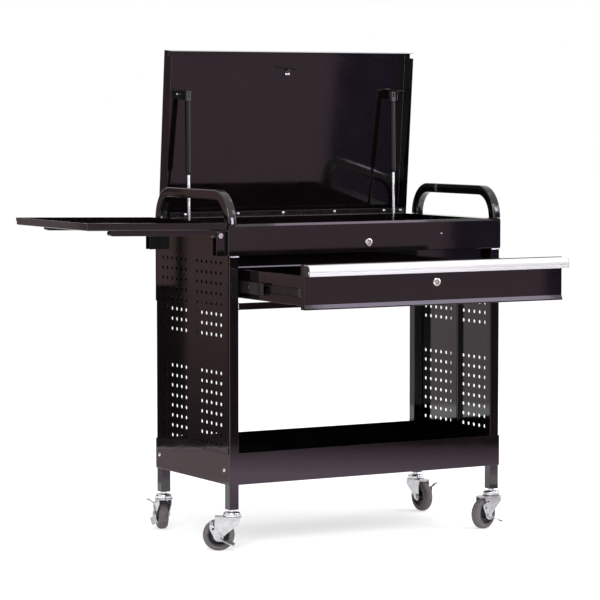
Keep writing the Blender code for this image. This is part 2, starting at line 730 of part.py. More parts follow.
def strut_line():
    """The open strut's length and its lean about X."""
    top_y, top_z = lid_point(-STRUT_LID_DISTANCE, STRUT_LID_LIFT)
    rise_y = top_y - FOOT_Y
    rise_z = top_z - FOOT_Z
    return math.hypot(rise_y, rise_z), -math.atan2(rise_y, rise_z)


def build_struts(cart, paints):
    length, lean = strut_line()
    stud = STRUT_EAR_OFFSET - FIT
    end = length - CYLINDER_NECK
    rod_end = CYLINDER_START + ROD_OVERLAP
    bore = ROD_RADIUS + FIT
    for name, side in (("left", -1), ("right", 1)):
        axis = pivot("strut_axis_" + name, cart, (side * STRUT_X, FOOT_Y, FOOT_Z), (lean, 0, 0))
        profile = [(0, -FITTING_RADIUS), (FITTING_RADIUS, -FITTING_RADIUS), (FITTING_RADIUS, FITTING_LENGTH),
                   (ROD_RADIUS, FITTING_LENGTH), (ROD_RADIUS, rod_end), (0, rod_end)]
        piston = turned("strut_rod_" + name, profile, 12)
        join(piston, rod("stud", STUD_RADIUS, "X", (0, side * stud), segments=8))
        finish(piston, paints["bright_steel"], axis)
        profile = [(0, end - FITTING_RADIUS), (bore, end - FITTING_RADIUS), (bore, CYLINDER_START),
                   (CYLINDER_RADIUS, CYLINDER_START), (CYLINDER_RADIUS, end), (FITTING_RADIUS, end),
                   (FITTING_RADIUS, length + FITTING_RADIUS), (0, length + FITTING_RADIUS)]
        barrel = turned("strut_cylinder_" + name, profile, 12)
        join(barrel, rod("stud", STUD_RADIUS, "X", (0, side * stud), (0, length), 8))
        finish(barrel, paints["satin_black"], axis)


def build_shelf(shelf, paints):
    """The tray and its two arms, with the fold axis at the origin."""
    right = PIVOT_X - HALF_W - SHELF_GAP
    left = right - SHELF_LENGTH
    half = SHELF_DEPTH / 2
    tray = box("shelf_tray", (left, right), (-half, half), (SHELF_LIFT, SHELF_LIFT + SHELF_RIM))
    in_x = (left + SHEET, right - SHEET)
    in_z = (SHELF_LIFT + SHEET, SHELF_LIFT + 2 * SHELF_RIM)
    cut(tray, tapered("inside", in_x, (SHEET - half, half - SHEET), in_z, SHELF_DRAFT))
    finish(tray, paints["black_enamel"], shelf)
    arm = build_arm(paints, shelf)
    arm.location = (0, -ARM_SPREAD, 0)
    twin(arm, "shelf_arm_rear", shelf).location = (0, ARM_SPREAD, 0)


def arc_points(centre, radius, start_deg, end_deg, steps):
    points = []
    for step in range(steps + 1):
        turn = math.radians(start_deg + (end_deg - start_deg) * step / steps)
        points.append((centre[0] + radius * math.cos(turn), centre[1] + radius * math.sin(turn)))
    return points


def build_arm(paints, shelf):
    """A channel arm, open below, with a round lug at the pivot and a round far end."""
    top = SHELF_LIFT - ARM_GAP
    low = top - ARM_HEIGHT
    nose = ARM_HEIGHT / 2
    half = BRACKET_INNER / 2 - FIT
    outline = arc_points((0, 0), LUG_RADIUS, -120, 60, 8)
    outline += [(-LUG_RADIUS, top)] + arc_points((-ARM_REACH + nose, low + nose), nose, 90, 270, 6)
    outline += [(-2 * LUG_RADIUS, low)]
    arm = prism("shelf_arm_front", outline, "Y", (-half, half))
    inner = half - ARM_WALL
    hollow_x = (-ARM_REACH + 2 * nose, -2 * LUG_RADIUS)
    cut(arm, box("hollow", hollow_x, (-inner, inner), (low - nose, top - ARM_WALL)))
    cut(arm, rod("bore", BOLT_RADIUS + FIT, "Y", (-2 * half, 2 * half)))
    return finish(arm, paints["black_enamel"], shelf)


def build_shelf_brackets(cart, paints):
    inner = BRACKET_INNER / 2
    outer = inner + BRACKET_SHEET
    base = -BRACKET_X
    tip = base - BRACKET_REACH
    outline = [(base, -outer), (base, outer), (tip, outer), (tip, inner), (base - BRACKET_SHEET, inner),
               (base - BRACKET_SHEET, -inner), (tip, -inner), (tip, -outer)]
    bracket = prism("shelf_bracket_front", outline, "Z", (Z_CHEST, Z_CHEST + BRACKET_HEIGHT))
    cut(bracket, rod("bore", BOLT_RADIUS + FIT, "Y", (-2 * outer, 2 * outer), (-PIVOT_X, PIVOT_Z)))
    finish(bracket, paints["black_enamel"], cart).location = (0, SHELF_Y - ARM_SPREAD, 0)
    twin(bracket, "shelf_bracket_rear", cart).location = (0, SHELF_Y + ARM_SPREAD, 0)

    head = outer + FIT
    bolt = rod("shelf_bolt_front", BOLT_RADIUS, "Y", (-head - BOLT_RADIUS, head + BOLT_RADIUS))
    join(bolt, rod("head", BOLT_HEAD, "Y", (-head - BOLT_RADIUS, -head)))
    join(bolt, rod("nut", BOLT_HEAD, "Y", (head, head + BOLT_RADIUS), segments=6))
    finish(bolt, paints["zinc_plate"], cart).location = (-PIVOT_X, SHELF_Y - ARM_SPREAD, PIVOT_Z)
    twin(bolt, "shelf_bolt_rear", cart).location = (-PIVOT_X, SHELF_Y + ARM_SPREAD, PIVOT_Z)


def caster_cup():
    """Raceway cup with a kingpin below and a plug up into the post."""
    plug = POST_SIZE / 2 - POST_WALL - 2 * FIT
    head_top = Z_CROWN - FIT
    head_low = head_top - CROWN_SHEET / 2
    profile = [(0, head_low), (1.4 * KINGPIN_RADIUS, head_low), (1.4 * KINGPIN_RADIUS, head_top),
               (KINGPIN_RADIUS, head_top), (KINGPIN_RADIUS, Z_CUP), (CUP_RADIUS, Z_CUP),
               (CUP_RADIUS, Z_CUP + CUP_HEIGHT / 2), (CUP_RADIUS * 0.75, Z_NECK), (KINGPIN_RADIUS, Z_NECK),
               (KINGPIN_RADIUS, Z_LEG), (plug, Z_LEG), (plug, Z_LEG + POST_SIZE), (0, Z_LEG + POST_SIZE)]
    return turned("caster_cup_fl", profile, 14)


def fork_leg(low_y, high_y):
    """One fork cheek, from under the crown down round the axle."""
    top = Z_CROWN + CROWN_SHEET / 2
    end = arc_points((TRAIL, Z_AXLE), 0.4 * HUB_RADIUS, -160, 20, 6)
    outline = [(-0.8 * CROWN_RADIUS, Z_CROWN - 4 * CROWN_SHEET), *end,
               (TRAIL + 0.4 * CROWN_RADIUS, top), (-0.8 * CROWN_RADIUS, top)]
    return prism("cheek", outline, "Y", (low_y, high_y))


def caster_fork():
    """Crown, two cheeks and the axle, with the swivel axis on Z and the trail along +X."""
    crown_out = arc_points((0, 0), CROWN_RADIUS, 50, 310, 12)
    crown_out += [(TRAIL + 0.4 * CROWN_RADIUS, -FORK_OUT), (TRAIL + 0.4 * CROWN_RADIUS, FORK_OUT)]
    fork = prism("caster_fork_fl", crown_out, "Z", (Z_CROWN, Z_CROWN + CROWN_SHEET))
    hole_z = (Z_CROWN - CROWN_SHEET, Z_CROWN + 2 * CROWN_SHEET)
    join(fork, fork_leg(-FORK_OUT, -FORK_IN), fork_leg(FORK_IN, FORK_OUT))
    cut(fork, rod("kingpin_hole", KINGPIN_RADIUS + FIT, "Z", hole_z, segments=14))
    nut = BRAKE_OUT + FIT
    axle = rod("axle", AXLE_RADIUS, "Y", (-FORK_OUT - AXLE_RADIUS, nut + AXLE_RADIUS), (TRAIL, Z_AXLE))
    head = rod("head", 1.7 * AXLE_RADIUS, "Y", (-FORK_OUT - AXLE_RADIUS, -FORK_IN - FIT), (TRAIL, Z_AXLE), 6)
    cap = rod("cap", 1.7 * AXLE_RADIUS, "Y", (nut, nut + AXLE_RADIUS), (TRAIL, Z_AXLE), 6)
    return join(fork, axle, head, cap)


def caster_hub():
    half = HUB_WIDTH / 2
    rim = TYRE_WIDTH / 2
    web = TYRE_WIDTH / 5
    bore = AXLE_RADIUS + FIT
    profile = [(bore, half), (0.4 * HUB_RADIUS, half), (0.45 * HUB_RADIUS, web), (0.78 * HUB_RADIUS, web),
               (0.84 * HUB_RADIUS, rim), (HUB_RADIUS, rim)]
    other_half = [(radius, -height) for radius, height in reversed(profile)]
    return turned("caster_hub_fl", profile + other_half, 18, ring=True)


def caster_tyre():
    """A round-crowned tyre: each flank bends over onto a narrow tread."""
    inner = HUB_RADIUS + FIT
    shoulder = WHEEL_DIAMETER / 2 - TYRE_CROWN
    half = TYRE_WIDTH / 2
    profile = [(inner, half)]
    for rise, width in arc_points((0, 0), 1, 0, TYRE_BEND_DEG, 3):
        bend = width / math.sin(math.radians(TYRE_BEND_DEG))
        profile.append((shoulder + TYRE_CROWN * bend, half * rise))
    other_half = [(radius, -height) for radius, height in reversed(profile)]
    return turned("caster_tyre_fl", profile + other_half, 24, ring=True)


def caster_brake():
    """A rocker plate round the axle, with a foot tab bent out at each end."""
    reach = HUB_RADIUS
    hub = 2.4 * AXLE_RADIUS
    up = [(0.45 * reach, 0.98 * reach), (-0.02 * reach, 1.12 * reach)]
    down = [(-1.38 * reach, -0.32 * reach), (-1.22 * reach, -0.76 * reach)]
    outline = [(hub, 0), up[0], up[1], (-0.55 * hub, 0.85 * hub), down[0], down[1]]
    outline += arc_points((0, 0), hub, -110, -20, 4)
    plate = prism("caster_brake_fl", outline, "Y", (BRAKE_IN, BRAKE_OUT))
    tab_y = (BRAKE_IN, BRAKE_OUT + 5 * BRAKE_SHEET)
    for one, two in ((up[0], up[1]), (down[0], down[1])):
        side = Vector((two[0] - one[0], two[1] - one[1]))
        normal = Vector((-side.y, side.x)).normalized() * BRAKE_SHEET
        if normal.dot(Vector(one)) > 0:
            normal = -normal
        tab = [one, two, (two[0] + normal.x, two[1] + normal.y), (one[0] + normal.x, one[1] + normal.y)]
        join(plate, prism("tab", tab, "Y", tab_y))
    cut(plate, rod("bore", AXLE_RADIUS + FIT, "Y", (BRAKE_IN - BRAKE_SHEET, BRAKE_OUT + BRAKE_SHEET)))
    return plate


def build_casters(cart, paints):
    cup = finish(caster_cup(), paints["zinc_plate"], None)
    fork = finish(caster_fork(), paints["zinc_plate"], None)
    hub = finish(caster_hub(), paints["hub_plastic"], None)
    tyre = finish(caster_tyre(), paints["tyre_rubber"], None)
    brake = finish(caster_brake(), paints["zinc_plate"], None)
    for corner, heading in HEADINGS.items():
        x = POST_X if corner[1] == "r" else -POST_X
        y = POST_Y if corner[0] == "r" else -POST_Y
        swivel = pivot("caster_swivel_" + corner, cart, (x, y, 0), (0, 0, math.radians(heading)))
        axle = pivot("caster_axle_" + corner, swivel, (TRAIL, 0, Z_AXLE))
        for piece, kind in ((cup, "cup"), (fork, "fork"), (hub, "hub"), (tyre, "tyre"), (brake, "brake")):
            name = "caster_" + kind + "_" + corner
            obj = piece if corner == "fl" else twin(piece, name, None)
            obj.parent = swivel if kind in ("cup", "fork") else axle
            if kind in ("hub", "tyre"):
                obj.rotation_euler = (math.radians(90), 0, 0)


def seat_on_floor(cart):
    """Put the centre of the whole part's footprint at the world origin."""
    bpy.context.view_layer.update()
    points = []
    for obj in bpy.data.objects:
        if obj.type == "MESH":
            points += [obj.matrix_world @ vert.co for vert in obj.data.vertices]
    lows = [min(point[axis] for point in points) for axis in range(3)]
    highs = [max(point[axis] for point in points) for axis in range(3)]
    cart.location = (-(lows[0] + highs[0]) / 2, -(lows[1] + highs[1]) / 2, -lows[2])
    bpy.context.view_layer.update()


def build():
    clear_scene()
    paints = make_paints()
    cart = pivot("cart", None, (0, 0, 0))
    middle = pivot("slide_middle_axis", cart, (0, -DRAWER_REST / 2, 0))
    drawer = pivot("drawer_axis", cart, (0, -DRAWER_REST, 0))
    lid = pivot("lid_axis", cart, (0, PIN_Y, PIN_Z), (-math.radians(LID_OPEN_DEG), 0, 0))
    tilt = math.radians(SHELF_TILT_DEG)
    shelf = pivot("shelf_axis", cart, (-PIVOT_X, SHELF_Y, PIVOT_Z), (0, tilt, 0))
    build_posts(cart, paints)
    build_tray(cart, paints)
    build_panels(cart, paints)
    build_chest(cart, paints)
    build_chest_front(cart, paints)
    build_front_rail(cart, paints)
    build_handles(cart, paints)
    build_slides(cart, middle, drawer, paints)
    build_drawer(drawer, paints)
    build_pull(drawer, paints)
    build_lock("chest_lock", Z_CHEST_LOCK, RECESS - 2 * CAM_SHEET, cart, paints)
    build_lock("drawer_lock", Z_DRAWER_LOCK, DRAWER_FRONT_DEPTH - 2 * CAM_SHEET, drawer, paints)
    build_hinge(cart, lid, paints)
    build_lid(lid, paints)
    build_striker(lid, paints)
    build_strut_brackets(lid, paints)
    build_struts(cart, paints)
    build_shelf(shelf, paints)
    build_shelf_brackets(cart, paints)
    build_casters(cart, paints)
    seat_on_floor(cart)


build()
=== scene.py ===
"""Looks of the mobile drawer cabinet: enamelled sheet, aluminium pull, chromed locks and zinc casters."""
import math

import bmesh
import bpy
from mathutils import Matrix, Vector


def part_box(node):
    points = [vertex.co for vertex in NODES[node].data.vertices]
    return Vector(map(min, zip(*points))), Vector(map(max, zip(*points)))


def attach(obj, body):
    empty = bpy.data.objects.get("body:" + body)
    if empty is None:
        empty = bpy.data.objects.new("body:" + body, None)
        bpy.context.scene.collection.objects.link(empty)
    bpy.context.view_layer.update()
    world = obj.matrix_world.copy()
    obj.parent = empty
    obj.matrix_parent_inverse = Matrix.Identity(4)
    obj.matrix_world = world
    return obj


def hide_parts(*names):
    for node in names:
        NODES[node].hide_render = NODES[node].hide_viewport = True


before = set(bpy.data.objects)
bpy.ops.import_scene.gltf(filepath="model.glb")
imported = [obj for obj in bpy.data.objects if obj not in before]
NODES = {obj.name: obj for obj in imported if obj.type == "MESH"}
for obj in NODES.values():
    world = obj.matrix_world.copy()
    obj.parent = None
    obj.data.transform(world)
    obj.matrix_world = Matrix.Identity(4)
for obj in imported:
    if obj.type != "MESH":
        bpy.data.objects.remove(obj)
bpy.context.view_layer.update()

# The cart's own frame, in metres: its plan centre is the tray's centre, and the floor is z = 0
TRAY_LOW, TRAY_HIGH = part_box("lower_tray")
CENTRE = Vector(((TRAY_LOW.x + TRAY_HIGH.x) / 2, (TRAY_LOW.y + TRAY_HIGH.y) / 2, 0))
SIDES = {"left": -1, "right": 1}
HALF_W = 0.3810
HALF_D = 0.1905
SHEET = 0.0012
CLEAR = 0.0003
Z_TRAY = 0.1555
Z_TRAY_TOP = 0.2300
Z_CHEST = 0.6950
Z_TOP = 0.7685

# The side panels and their round holes, in blocks above each other on both sides of the rib
PANEL_IN = 0.3785
PANEL_OUT = 0.3795
HOLE_RADIUS = 0.0043
HOLE_COLUMNS = 6
HOLE_ROWS = 8
HOLE_ACROSS = 0.0242
HOLE_DOWN = 0.0244
HOLE_FROM_MIDDLE = 0.0285
HOLE_TOPS = (Z_CHEST - 0.0180, Z_CHEST - 0.2780)

# The handles' square tube
HANDLE_WIDE = 0.0220
HANDLE_DEEP = 0.0235
HANDLE_HIGH = 0.0790
HANDLE_BEND = 0.0720

# The drawer as it stands in the frame, with its pull, and its slides
DRAWER_OUT = 0.3035
FACE_Y = -HALF_D - DRAWER_OUT
FACE_TOP = 0.6890
PULL_HALF = 0.3537
PULL_TOP = FACE_TOP - 0.0015
PULL_LOW = PULL_TOP - 0.0243
PULL_FRONT = FACE_Y - 0.0270
PULL_BACK = FACE_Y - CLEAR
PULL_CAP = 0.0012
SLIDE_Z = (0.6088, 0.6362)

# The lid on its pin, the struts and the shelf, with angles in degrees
PIN = Vector((0, 0.1940, 0.7675))
LID_OPEN = 85.15
LID_INNER = 0.0407
STRUT_X = 0.2950
STRUT_FOOT = Vector((0, 0.1745, 0.7230))
STRUT_LENGTH = 0.3480
STRUT_LEAN = -0.8218
SHELF_PIVOT = Vector((-0.3968, 0.0050, 0.7420))
SHELF_TILT = 1.04

# The casters, each turned to its own heading in degrees
POST_X = 0.3657
POST_Y = 0.1765
TRAIL = 0.0310
AXLE_Z = 0.0375
HEADINGS = {"fl": 150.3, "fr": 198.2, "rl": 73.3, "rr": 270.2}

# The camera, its heading from the cart's own depth, and the light levels
CAMERA_PLACE = Vector((-3.4268, -5.8631, 1.0470))
CAMERA_DIP = math.radians(4.038)
HEADING = math.radians(29.716)
LENS = 165.9
SENSOR = 36.0
SKY = 0.50
FLOOR_GLOW = 0.58
WALL_BLEND = 0.55

# How faces and edges are picked: their direction along or across an axis, and two tolerances in metres
ALIGNED = 0.9
ACROSS = 0.2
NEAR = 0.001
HAIR = 0.0001


def srgb(code):
    """An sRGB hex colour as linear RGBA."""
    parts = [int(code[place:place + 2], 16) / 255 for place in (1, 3, 5)]
    linear = [part / 12.92 if part <= 0.04045 else ((part + 0.055) / 1.055) ** 2.4 for part in parts]
    return (*linear, 1.0)


def add(tree, kind, settings=None, links=None):
    """Add a node, set its fields or sockets, and link sockets from other nodes' outputs."""
    node = tree.nodes.new(kind)
    for key, value in (settings or {}).items():
        if hasattr(node, key):
            setattr(node, key, value)
        else:
            node.inputs[key].default_value = value
    for key, output in (links or {}).items():
        tree.links.new(output, node.inputs[key])
    return node


def start_paint(name, roughness, metallic=0.0):
    """A material with its shader, and the object coordinates that its patterns read."""
    paint = bpy.data.materials.new(name)
    paint.use_nodes = True
    tree = paint.node_tree
    shader = tree.nodes["Principled BSDF"]
    shader.inputs["Metallic"].default_value = metallic
    shader.inputs["Roughness"].default_value = roughness
    place = add(tree, "ShaderNodeTexCoord").outputs["Object"]
    return paint, tree, shader, place


def stretched(tree, place, scale):
    """Coordinates scaled unlike on each axis, for lines along a piece."""
    return add(tree, "ShaderNodeMapping", {"Scale": scale}, {"Vector": place}).outputs["Vector"]


def blotch(tree, place, size, dark, light, detail=3.0):
    """Colour that wanders between two tones over patches of a given size in metres."""
    noise = add(tree, "ShaderNodeTexNoise", {"Scale": 1 / size, "Detail": detail}, {"Vector": place})
    ramp = add(tree, "ShaderNodeValToRGB", None, {"Fac": noise.outputs["Fac"]})
    ramp.color_ramp.elements[0].position = 0.3
    ramp.color_ramp.elements[1].position = 0.7
    ramp.color_ramp.elements[0].color = srgb(dark)
    ramp.color_ramp.elements[1].color = srgb(light)
    return ramp.outputs["Color"]


def spread(tree, place, size, low, high):
    """A number that wanders between two values over patches of a given size in metres."""
    noise = add(tree, "ShaderNodeTexNoise", {"Scale": 1 / size, "Detail": 3.0}, {"Vector": place})
    settings = {"From Min": 0.3, "From Max": 0.7, "To Min": low, "To Max": high}
    return add(tree, "ShaderNodeMapRange", settings, {"Value": noise.outputs["Fac"]}).outputs["Result"]


def coat(tree, shader, colour, roughness):
    """Give a shader its patterns of colour and roughness."""
    tree.links.new(colour, shader.inputs["Base Color"])
    tree.links.new(roughness, shader.inputs["Roughness"])


def relief(tree, shader, place, size, strength, height):
    """Fine bumps of a given size in metres."""
    noise = add(tree, "ShaderNodeTexNoise", {"Scale": 1 / size, "Detail": 2.0}, {"Vector": place})
    settings = {"Strength": strength, "Distance": height}
    bump = add(tree, "ShaderNodeBump", settings, {"Height": noise.outputs["Fac"]})
    tree.links.new(bump.outputs["Normal"], shader.inputs["Normal"])


def enamel():
    """Baked gloss powder coat on steel: near black and mirror smooth, with a faint orange peel."""
    paint, tree, shader, place = start_paint("black_gloss_powder_coat", 0.06)
    shader.inputs["IOR"].default_value = 1.6
    colour = blotch(tree, place, 0.120, "#0b0809", "#130d0f")
    coat(tree, shader, colour, spread(tree, place, 0.060, 0.035, 0.075))
    # Real orange peel is 2 mm wide; it is drawn at 6 mm so that it shows in the render
    relief(tree, shader, place, 0.006, 0.12, 0.0002)
    return paint


def aluminium():
    """Satin anodised extrusion: pale and milky, with faint die lines along its length."""
    paint, tree, shader, place = start_paint("satin_anodised_aluminium", 0.42, 0.45)
    # Real die lines are finer than 1 mm; they are drawn about 3 mm apart so that they show in the render
    along = stretched(tree, place, (1.0, 300.0, 300.0))
    colour = blotch(tree, along, 1.0, "#e4e4e6", "#ebebed")
    coat(tree, shader, colour, spread(tree, along, 1.0, 0.40, 0.45))
    return paint


def zinc():
    """Bright zinc plate on pressed steel: cool pale grey with soft cloudy patches."""
    paint, tree, shader, place = start_paint("zinc_plated_steel", 0.26, 1.0)
    colour = blotch(tree, place, 0.014, "#adadb1", "#c8c8cc")
    coat(tree, shader, colour, spread(tree, place, 0.008, 0.20, 0.32))
    relief(tree, shader, place, 0.004, 0.05, 0.0002)
    return paint


def bright_zinc():
    """Polished zinc plate on spun caster cups, bolts and screw heads: nearly a mirror, slightly blue."""
    paint, tree, shader, place = start_paint("polished_zinc_plate", 0.12, 1.0)
    colour = blotch(tree, place, 0.008, "#cfd0d4", "#e8e8ea")
    coat(tree, shader, colour, spread(tree, place, 0.006, 0.09, 0.18))
    return paint


def steel():
    """Hard-chromed piston rod: a bright cool grey with a fine ground finish."""
    paint, tree, shader, place = start_paint("ground_rod_steel", 0.16, 1.0)
    # The grinding marks run along the rod and are drawn about 3 mm wide so that they show in the render
    along = stretched(tree, place, (300.0, 300.0, 20.0))
    colour = blotch(tree, along, 1.0, "#c4c3c8", "#dedde2")
    coat(tree, shader, colour, spread(tree, along, 1.0, 0.12, 0.22))
    return paint


def chrome():
    """Polished chrome plate with a few dulled patches."""
    paint, tree, shader, place = start_paint("polished_chrome", 0.10, 1.0)
    colour = blotch(tree, place, 0.006, "#d5d2cb", "#efece6")
    coat(tree, shader, colour, spread(tree, place, 0.004, 0.07, 0.18))
    return paint


def satin_black():
    """Sprayed satin black on slides, hinge leaves and the striker: smooth and half glossy."""
    paint, tree, shader, place = start_paint("satin_black_paint", 0.24)
    colour = blotch(tree, place, 0.030, "#120f10", "#1b1718")
    coat(tree, shader, colour, spread(tree, place, 0.020, 0.19, 0.30))
    return paint


def strut_black():
    """Gloss black on the gas struts' tubes, smooth enough to show one bright line."""
    paint, tree, shader, place = start_paint("gloss_black_tube", 0.14)
    shader.inputs["IOR"].default_value = 1.35
    colour = blotch(tree, place, 0.030, "#0a0809", "#110e10")
    coat(tree, shader, colour, spread(tree, place, 0.020, 0.11, 0.18))
    return paint


def rubber():
    """Grey moulded tyre rubber, matt, with a slightly worn tread."""
    paint, tree, shader, place = start_paint("grey_tyre_rubber", 0.62)
    colour = blotch(tree, place, 0.010, "#645e5f", "#797273", 5.0)
    coat(tree, shader, colour, spread(tree, place, 0.006, 0.54, 0.72))
    relief(tree, shader, place, 0.0015, 0.20, 0.0003)
    return paint


def nylon():
    """Moulded black nylon: wheel centres, pull end caps, and the slides' bumpers and ball cages."""
    paint, tree, shader, place = start_paint("moulded_black_nylon", 0.42)
    colour = blotch(tree, place, 0.010, "#191517", "#262123")
    coat(tree, shader, colour, spread(tree, place, 0.005, 0.36, 0.50))
    relief(tree, shader, place, 0.001, 0.10, 0.0001)
    return paint


def grey_nylon():
    """Moulded grey nylon of the struts' ball sockets: waxy, with a soft sheen."""
    paint, tree, shader, place = start_paint("moulded_grey_nylon", 0.34)
    colour = blotch(tree, place, 0.008, "#2c282b", "#3a353a")
    coat(tree, shader, colour, spread(tree, place, 0.004, 0.28, 0.42))
    relief(tree, shader, place, 0.001, 0.10, 0.0001)
    return paint


ENAMEL = enamel()
ALUMINIUM = aluminium()
ZINC = zinc()
BRIGHT_ZINC = bright_zinc()
STEEL = steel()
CHROME = chrome()
SATIN_BLACK = satin_black()
STRUT_BLACK = strut_black()
RUBBER = rubber()
NYLON = nylon()
GREY_NYLON = grey_nylon()


def deselect():
    if bpy.context.mode != "OBJECT":
        bpy.ops.object.mode_set(mode="OBJECT")
    bpy.ops.object.select_all(action="DESELECT")


def work_on(obj):
    deselect()
    obj.select_set(True)
    bpy.context.view_layer.objects.active = obj


def edit_all(obj):
    """Open the piece for editing with everything selected."""
    work_on(obj)
    bpy.ops.object.mode_set(mode="EDIT")
    bpy.ops.mesh.select_all(action="SELECT")


def done():
    bpy.ops.object.mode_set(mode="OBJECT")


def block(name, low, high):
    """A block between two corners, in the cart's frame or a piece's own."""
    deselect()
    middle = [(a + b) / 2 for a, b in zip(low, high)]
    size = [b - a for a, b in zip(low, high)]
    bpy.ops.mesh.primitive_cube_add(size=1, location=middle, scale=size)
    bpy.ops.object.transform_apply(location=True, rotation=True, scale=True)
    bpy.context.object.name = name
    return bpy.context.object


def pick(obj, mode, test):
    """Open the piece for editing and select the faces or edges whose middle and direction pass a test."""
    work_on(obj)
    bpy.ops.object.mode_set(mode="EDIT")
    bpy.ops.mesh.select_mode(type=mode)
    bpy.ops.mesh.select_all(action="DESELECT")
    bm = bmesh.from_edit_mesh(obj.data)
    for item in bm.faces if mode == "FACE" else bm.edges:
        if mode == "FACE":
            middle, aim = item.calc_center_median(), item.normal
        else:
            middle = (item.verts[0].co + item.verts[1].co) / 2
            aim = (item.verts[1].co - item.verts[0].co).normalized()
        item.select_set(test(middle, aim))
    bm.select_flush_mode()
    bmesh.update_edit_mesh(obj.data)


def shift_edges(obj, shift, test):
    """Move the edges that pass a test."""
    pick(obj, "EDGE", test)
    bpy.ops.transform.translate(value=shift)
    done()


def pull_out(reach):
    """Extrude what is selected."""
    bpy.ops.mesh.extrude_region_move(TRANSFORM_OT_translate={"value": reach})


def modify(obj, kind, **settings):
    """Add a modifier and apply it at once."""
    work_on(obj)
    mod = obj.modifiers.new(kind.lower(), kind)
    for key, value in settings.items():
        setattr(mod, key, value)
    bpy.ops.object.modifier_apply(modifier=mod.name)


def cut(obj, tool, operation="DIFFERENCE"):
    """Cut the tool's shape out of a piece, or weld it on, and remove the tool."""
    modify(obj, "BOOLEAN", operation=operation, solver="EXACT", object=tool)
    bpy.data.objects.remove(tool)


def repeat(obj, count, step):
    """Repeat a piece in a row, one step apart."""
    modify(obj, "ARRAY", count=count, use_relative_offset=False, use_constant_offset=True,
           constant_offset_displace=step)


def shade(obj, angle=35):
    work_on(obj)
    bpy.ops.object.shade_smooth_by_angle(angle=math.radians(angle))


def soften(obj, width, segments=2, angle=30, smooth=35):
    """Round the sharp edges and shade the curved faces smooth."""
    modify(obj, "BEVEL", width=width, segments=segments, limit_method="ANGLE",
           angle_limit=math.radians(angle), use_clamp_overlap=True)
    shade(obj, smooth)
    modify(obj, "WEIGHTED_NORMAL", mode="FACE_AREA", weight=100, keep_sharp=True)


def round_edges(obj, width, segments, test):
    """Bevel only the edges that pass a test."""
    pick(obj, "EDGE", test)
    bpy.ops.mesh.bevel(offset=width, segments=segments, affect="EDGES", offset_type="OFFSET")
    done()


def drop_faces(obj, test):
    pick(obj, "FACE", test)
    bpy.ops.mesh.delete(type="FACE")
    done()


def slice_at(obj, point, normal):
    """Cut new edges across the piece at a plane."""
    pick(obj, "FACE", lambda middle, aim: True)
    bpy.ops.mesh.bisect(plane_co=point, plane_no=normal, use_fill=False)
    done()


def shell(obj, thickness):
    modify(obj, "SOLIDIFY", thickness=thickness, offset=-1, use_even_offset=True)


def from_points(name, points, edges, faces):
    """A piece that starts as a few points, joined by edges or one face."""
    mesh = bpy.data.meshes.new(name)
    mesh.from_pydata(points, edges, faces)
    obj = bpy.data.objects.new(name, mesh)
    bpy.context.scene.collection.objects.link(obj)
    return obj


def turned(name, profile, sides, ring=False):
    """A profile of (radius, height) points spun about Z."""
    edges = [(step, step + 1) for step in range(len(profile) - 1)]
    if ring:
        edges.append((len(profile) - 1, 0))
    obj = from_points(name, [(radius, 0, height) for radius, height in profile], edges, [])
    edit_all(obj)
    bpy.ops.mesh.spin(steps=sides, angle=math.tau, center=(0, 0, 0), axis=(0, 0, 1), dupli=False)
    bpy.ops.mesh.select_all(action="SELECT")
    bpy.ops.mesh.remove_doubles(threshold=1e-6)
    bpy.ops.mesh.normals_make_consistent(inside=False)
    done()
    shade(obj)
    return obj


def both_ways(profile):
    """A profile above z = 0 and its mirror image below, as one outline."""
    return profile + [(radius, -height) for radius, height in reversed(profile)]


def drawn_out(name, points, along, reach, closed):
    """A line or a closed outline across one axis, drawn out along that axis."""
    axis = "XYZ".index(along)
    corners = []
    for point in points:
        corner = list(point)
        corner.insert(axis, reach[0])
        corners.append(corner)
    if closed:
        obj = from_points(name, corners, [], [range(len(corners))])
    else:
        obj = from_points(name, corners, [(step, step + 1) for step in range(len(corners) - 1)], [])
    edit_all(obj)
    shift = [0.0, 0.0, 0.0]
    shift[axis] = reach[1] - reach[0]
    pull_out(shift)
    bpy.ops.mesh.select_all(action="SELECT")
    bpy.ops.mesh.normals_make_consistent(inside=False)
    done()
    return obj


def ribbon(name, points, along, reach, thickness):
    """A bent strip of sheet, as thick on both sides of its line."""
    strip = drawn_out(name, points, along, reach, False)
    modify(strip, "SOLIDIFY", thickness=thickness, offset=0, use_even_offset=True)
    return strip


def move(obj, matrix):
    """Put the place into the mesh, so that the object itself stays at the origin."""
    obj.data.transform(matrix)
    return obj


def another(obj, name, matrix):
    copy = bpy.data.objects.new(name, obj.data.copy())
    bpy.context.scene.collection.objects.link(copy)
    return move(copy, matrix)


def merge(name, *pieces):
    """Make several pieces one object."""
    deselect()
    for piece in pieces:
        piece.select_set(True)
    bpy.context.view_layer.objects.active = pieces[0]
    bpy.ops.object.join()
    pieces[0].name = name
    return pieces[0]


def turn_by(degrees, axis):
    return Matrix.Rotation(math.radians(degrees), 4, axis)


def to_cart(place=(0, 0, 0)):
    return Matrix.Translation(CENTRE + Vector(place))


def on_lid():
    """From the shut lid's frame, with the hinge pin at its origin, to the open lid's place."""
    return to_cart(PIN) @ turn_by(-LID_OPEN, "X")


def span(side, near, far):
    """Two places across the cart on its left (-1) or right (1) side, the lower one first."""
    return sorted((side * near, side * far))


def seat(obj, body, paint, *nodes):
    """Give a finished piece its finish, its body and the solids it stands for."""
    obj.data.materials.clear()
    obj.data.materials.append(paint)
    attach(obj, body)
    if nodes:
        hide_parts(*nodes)


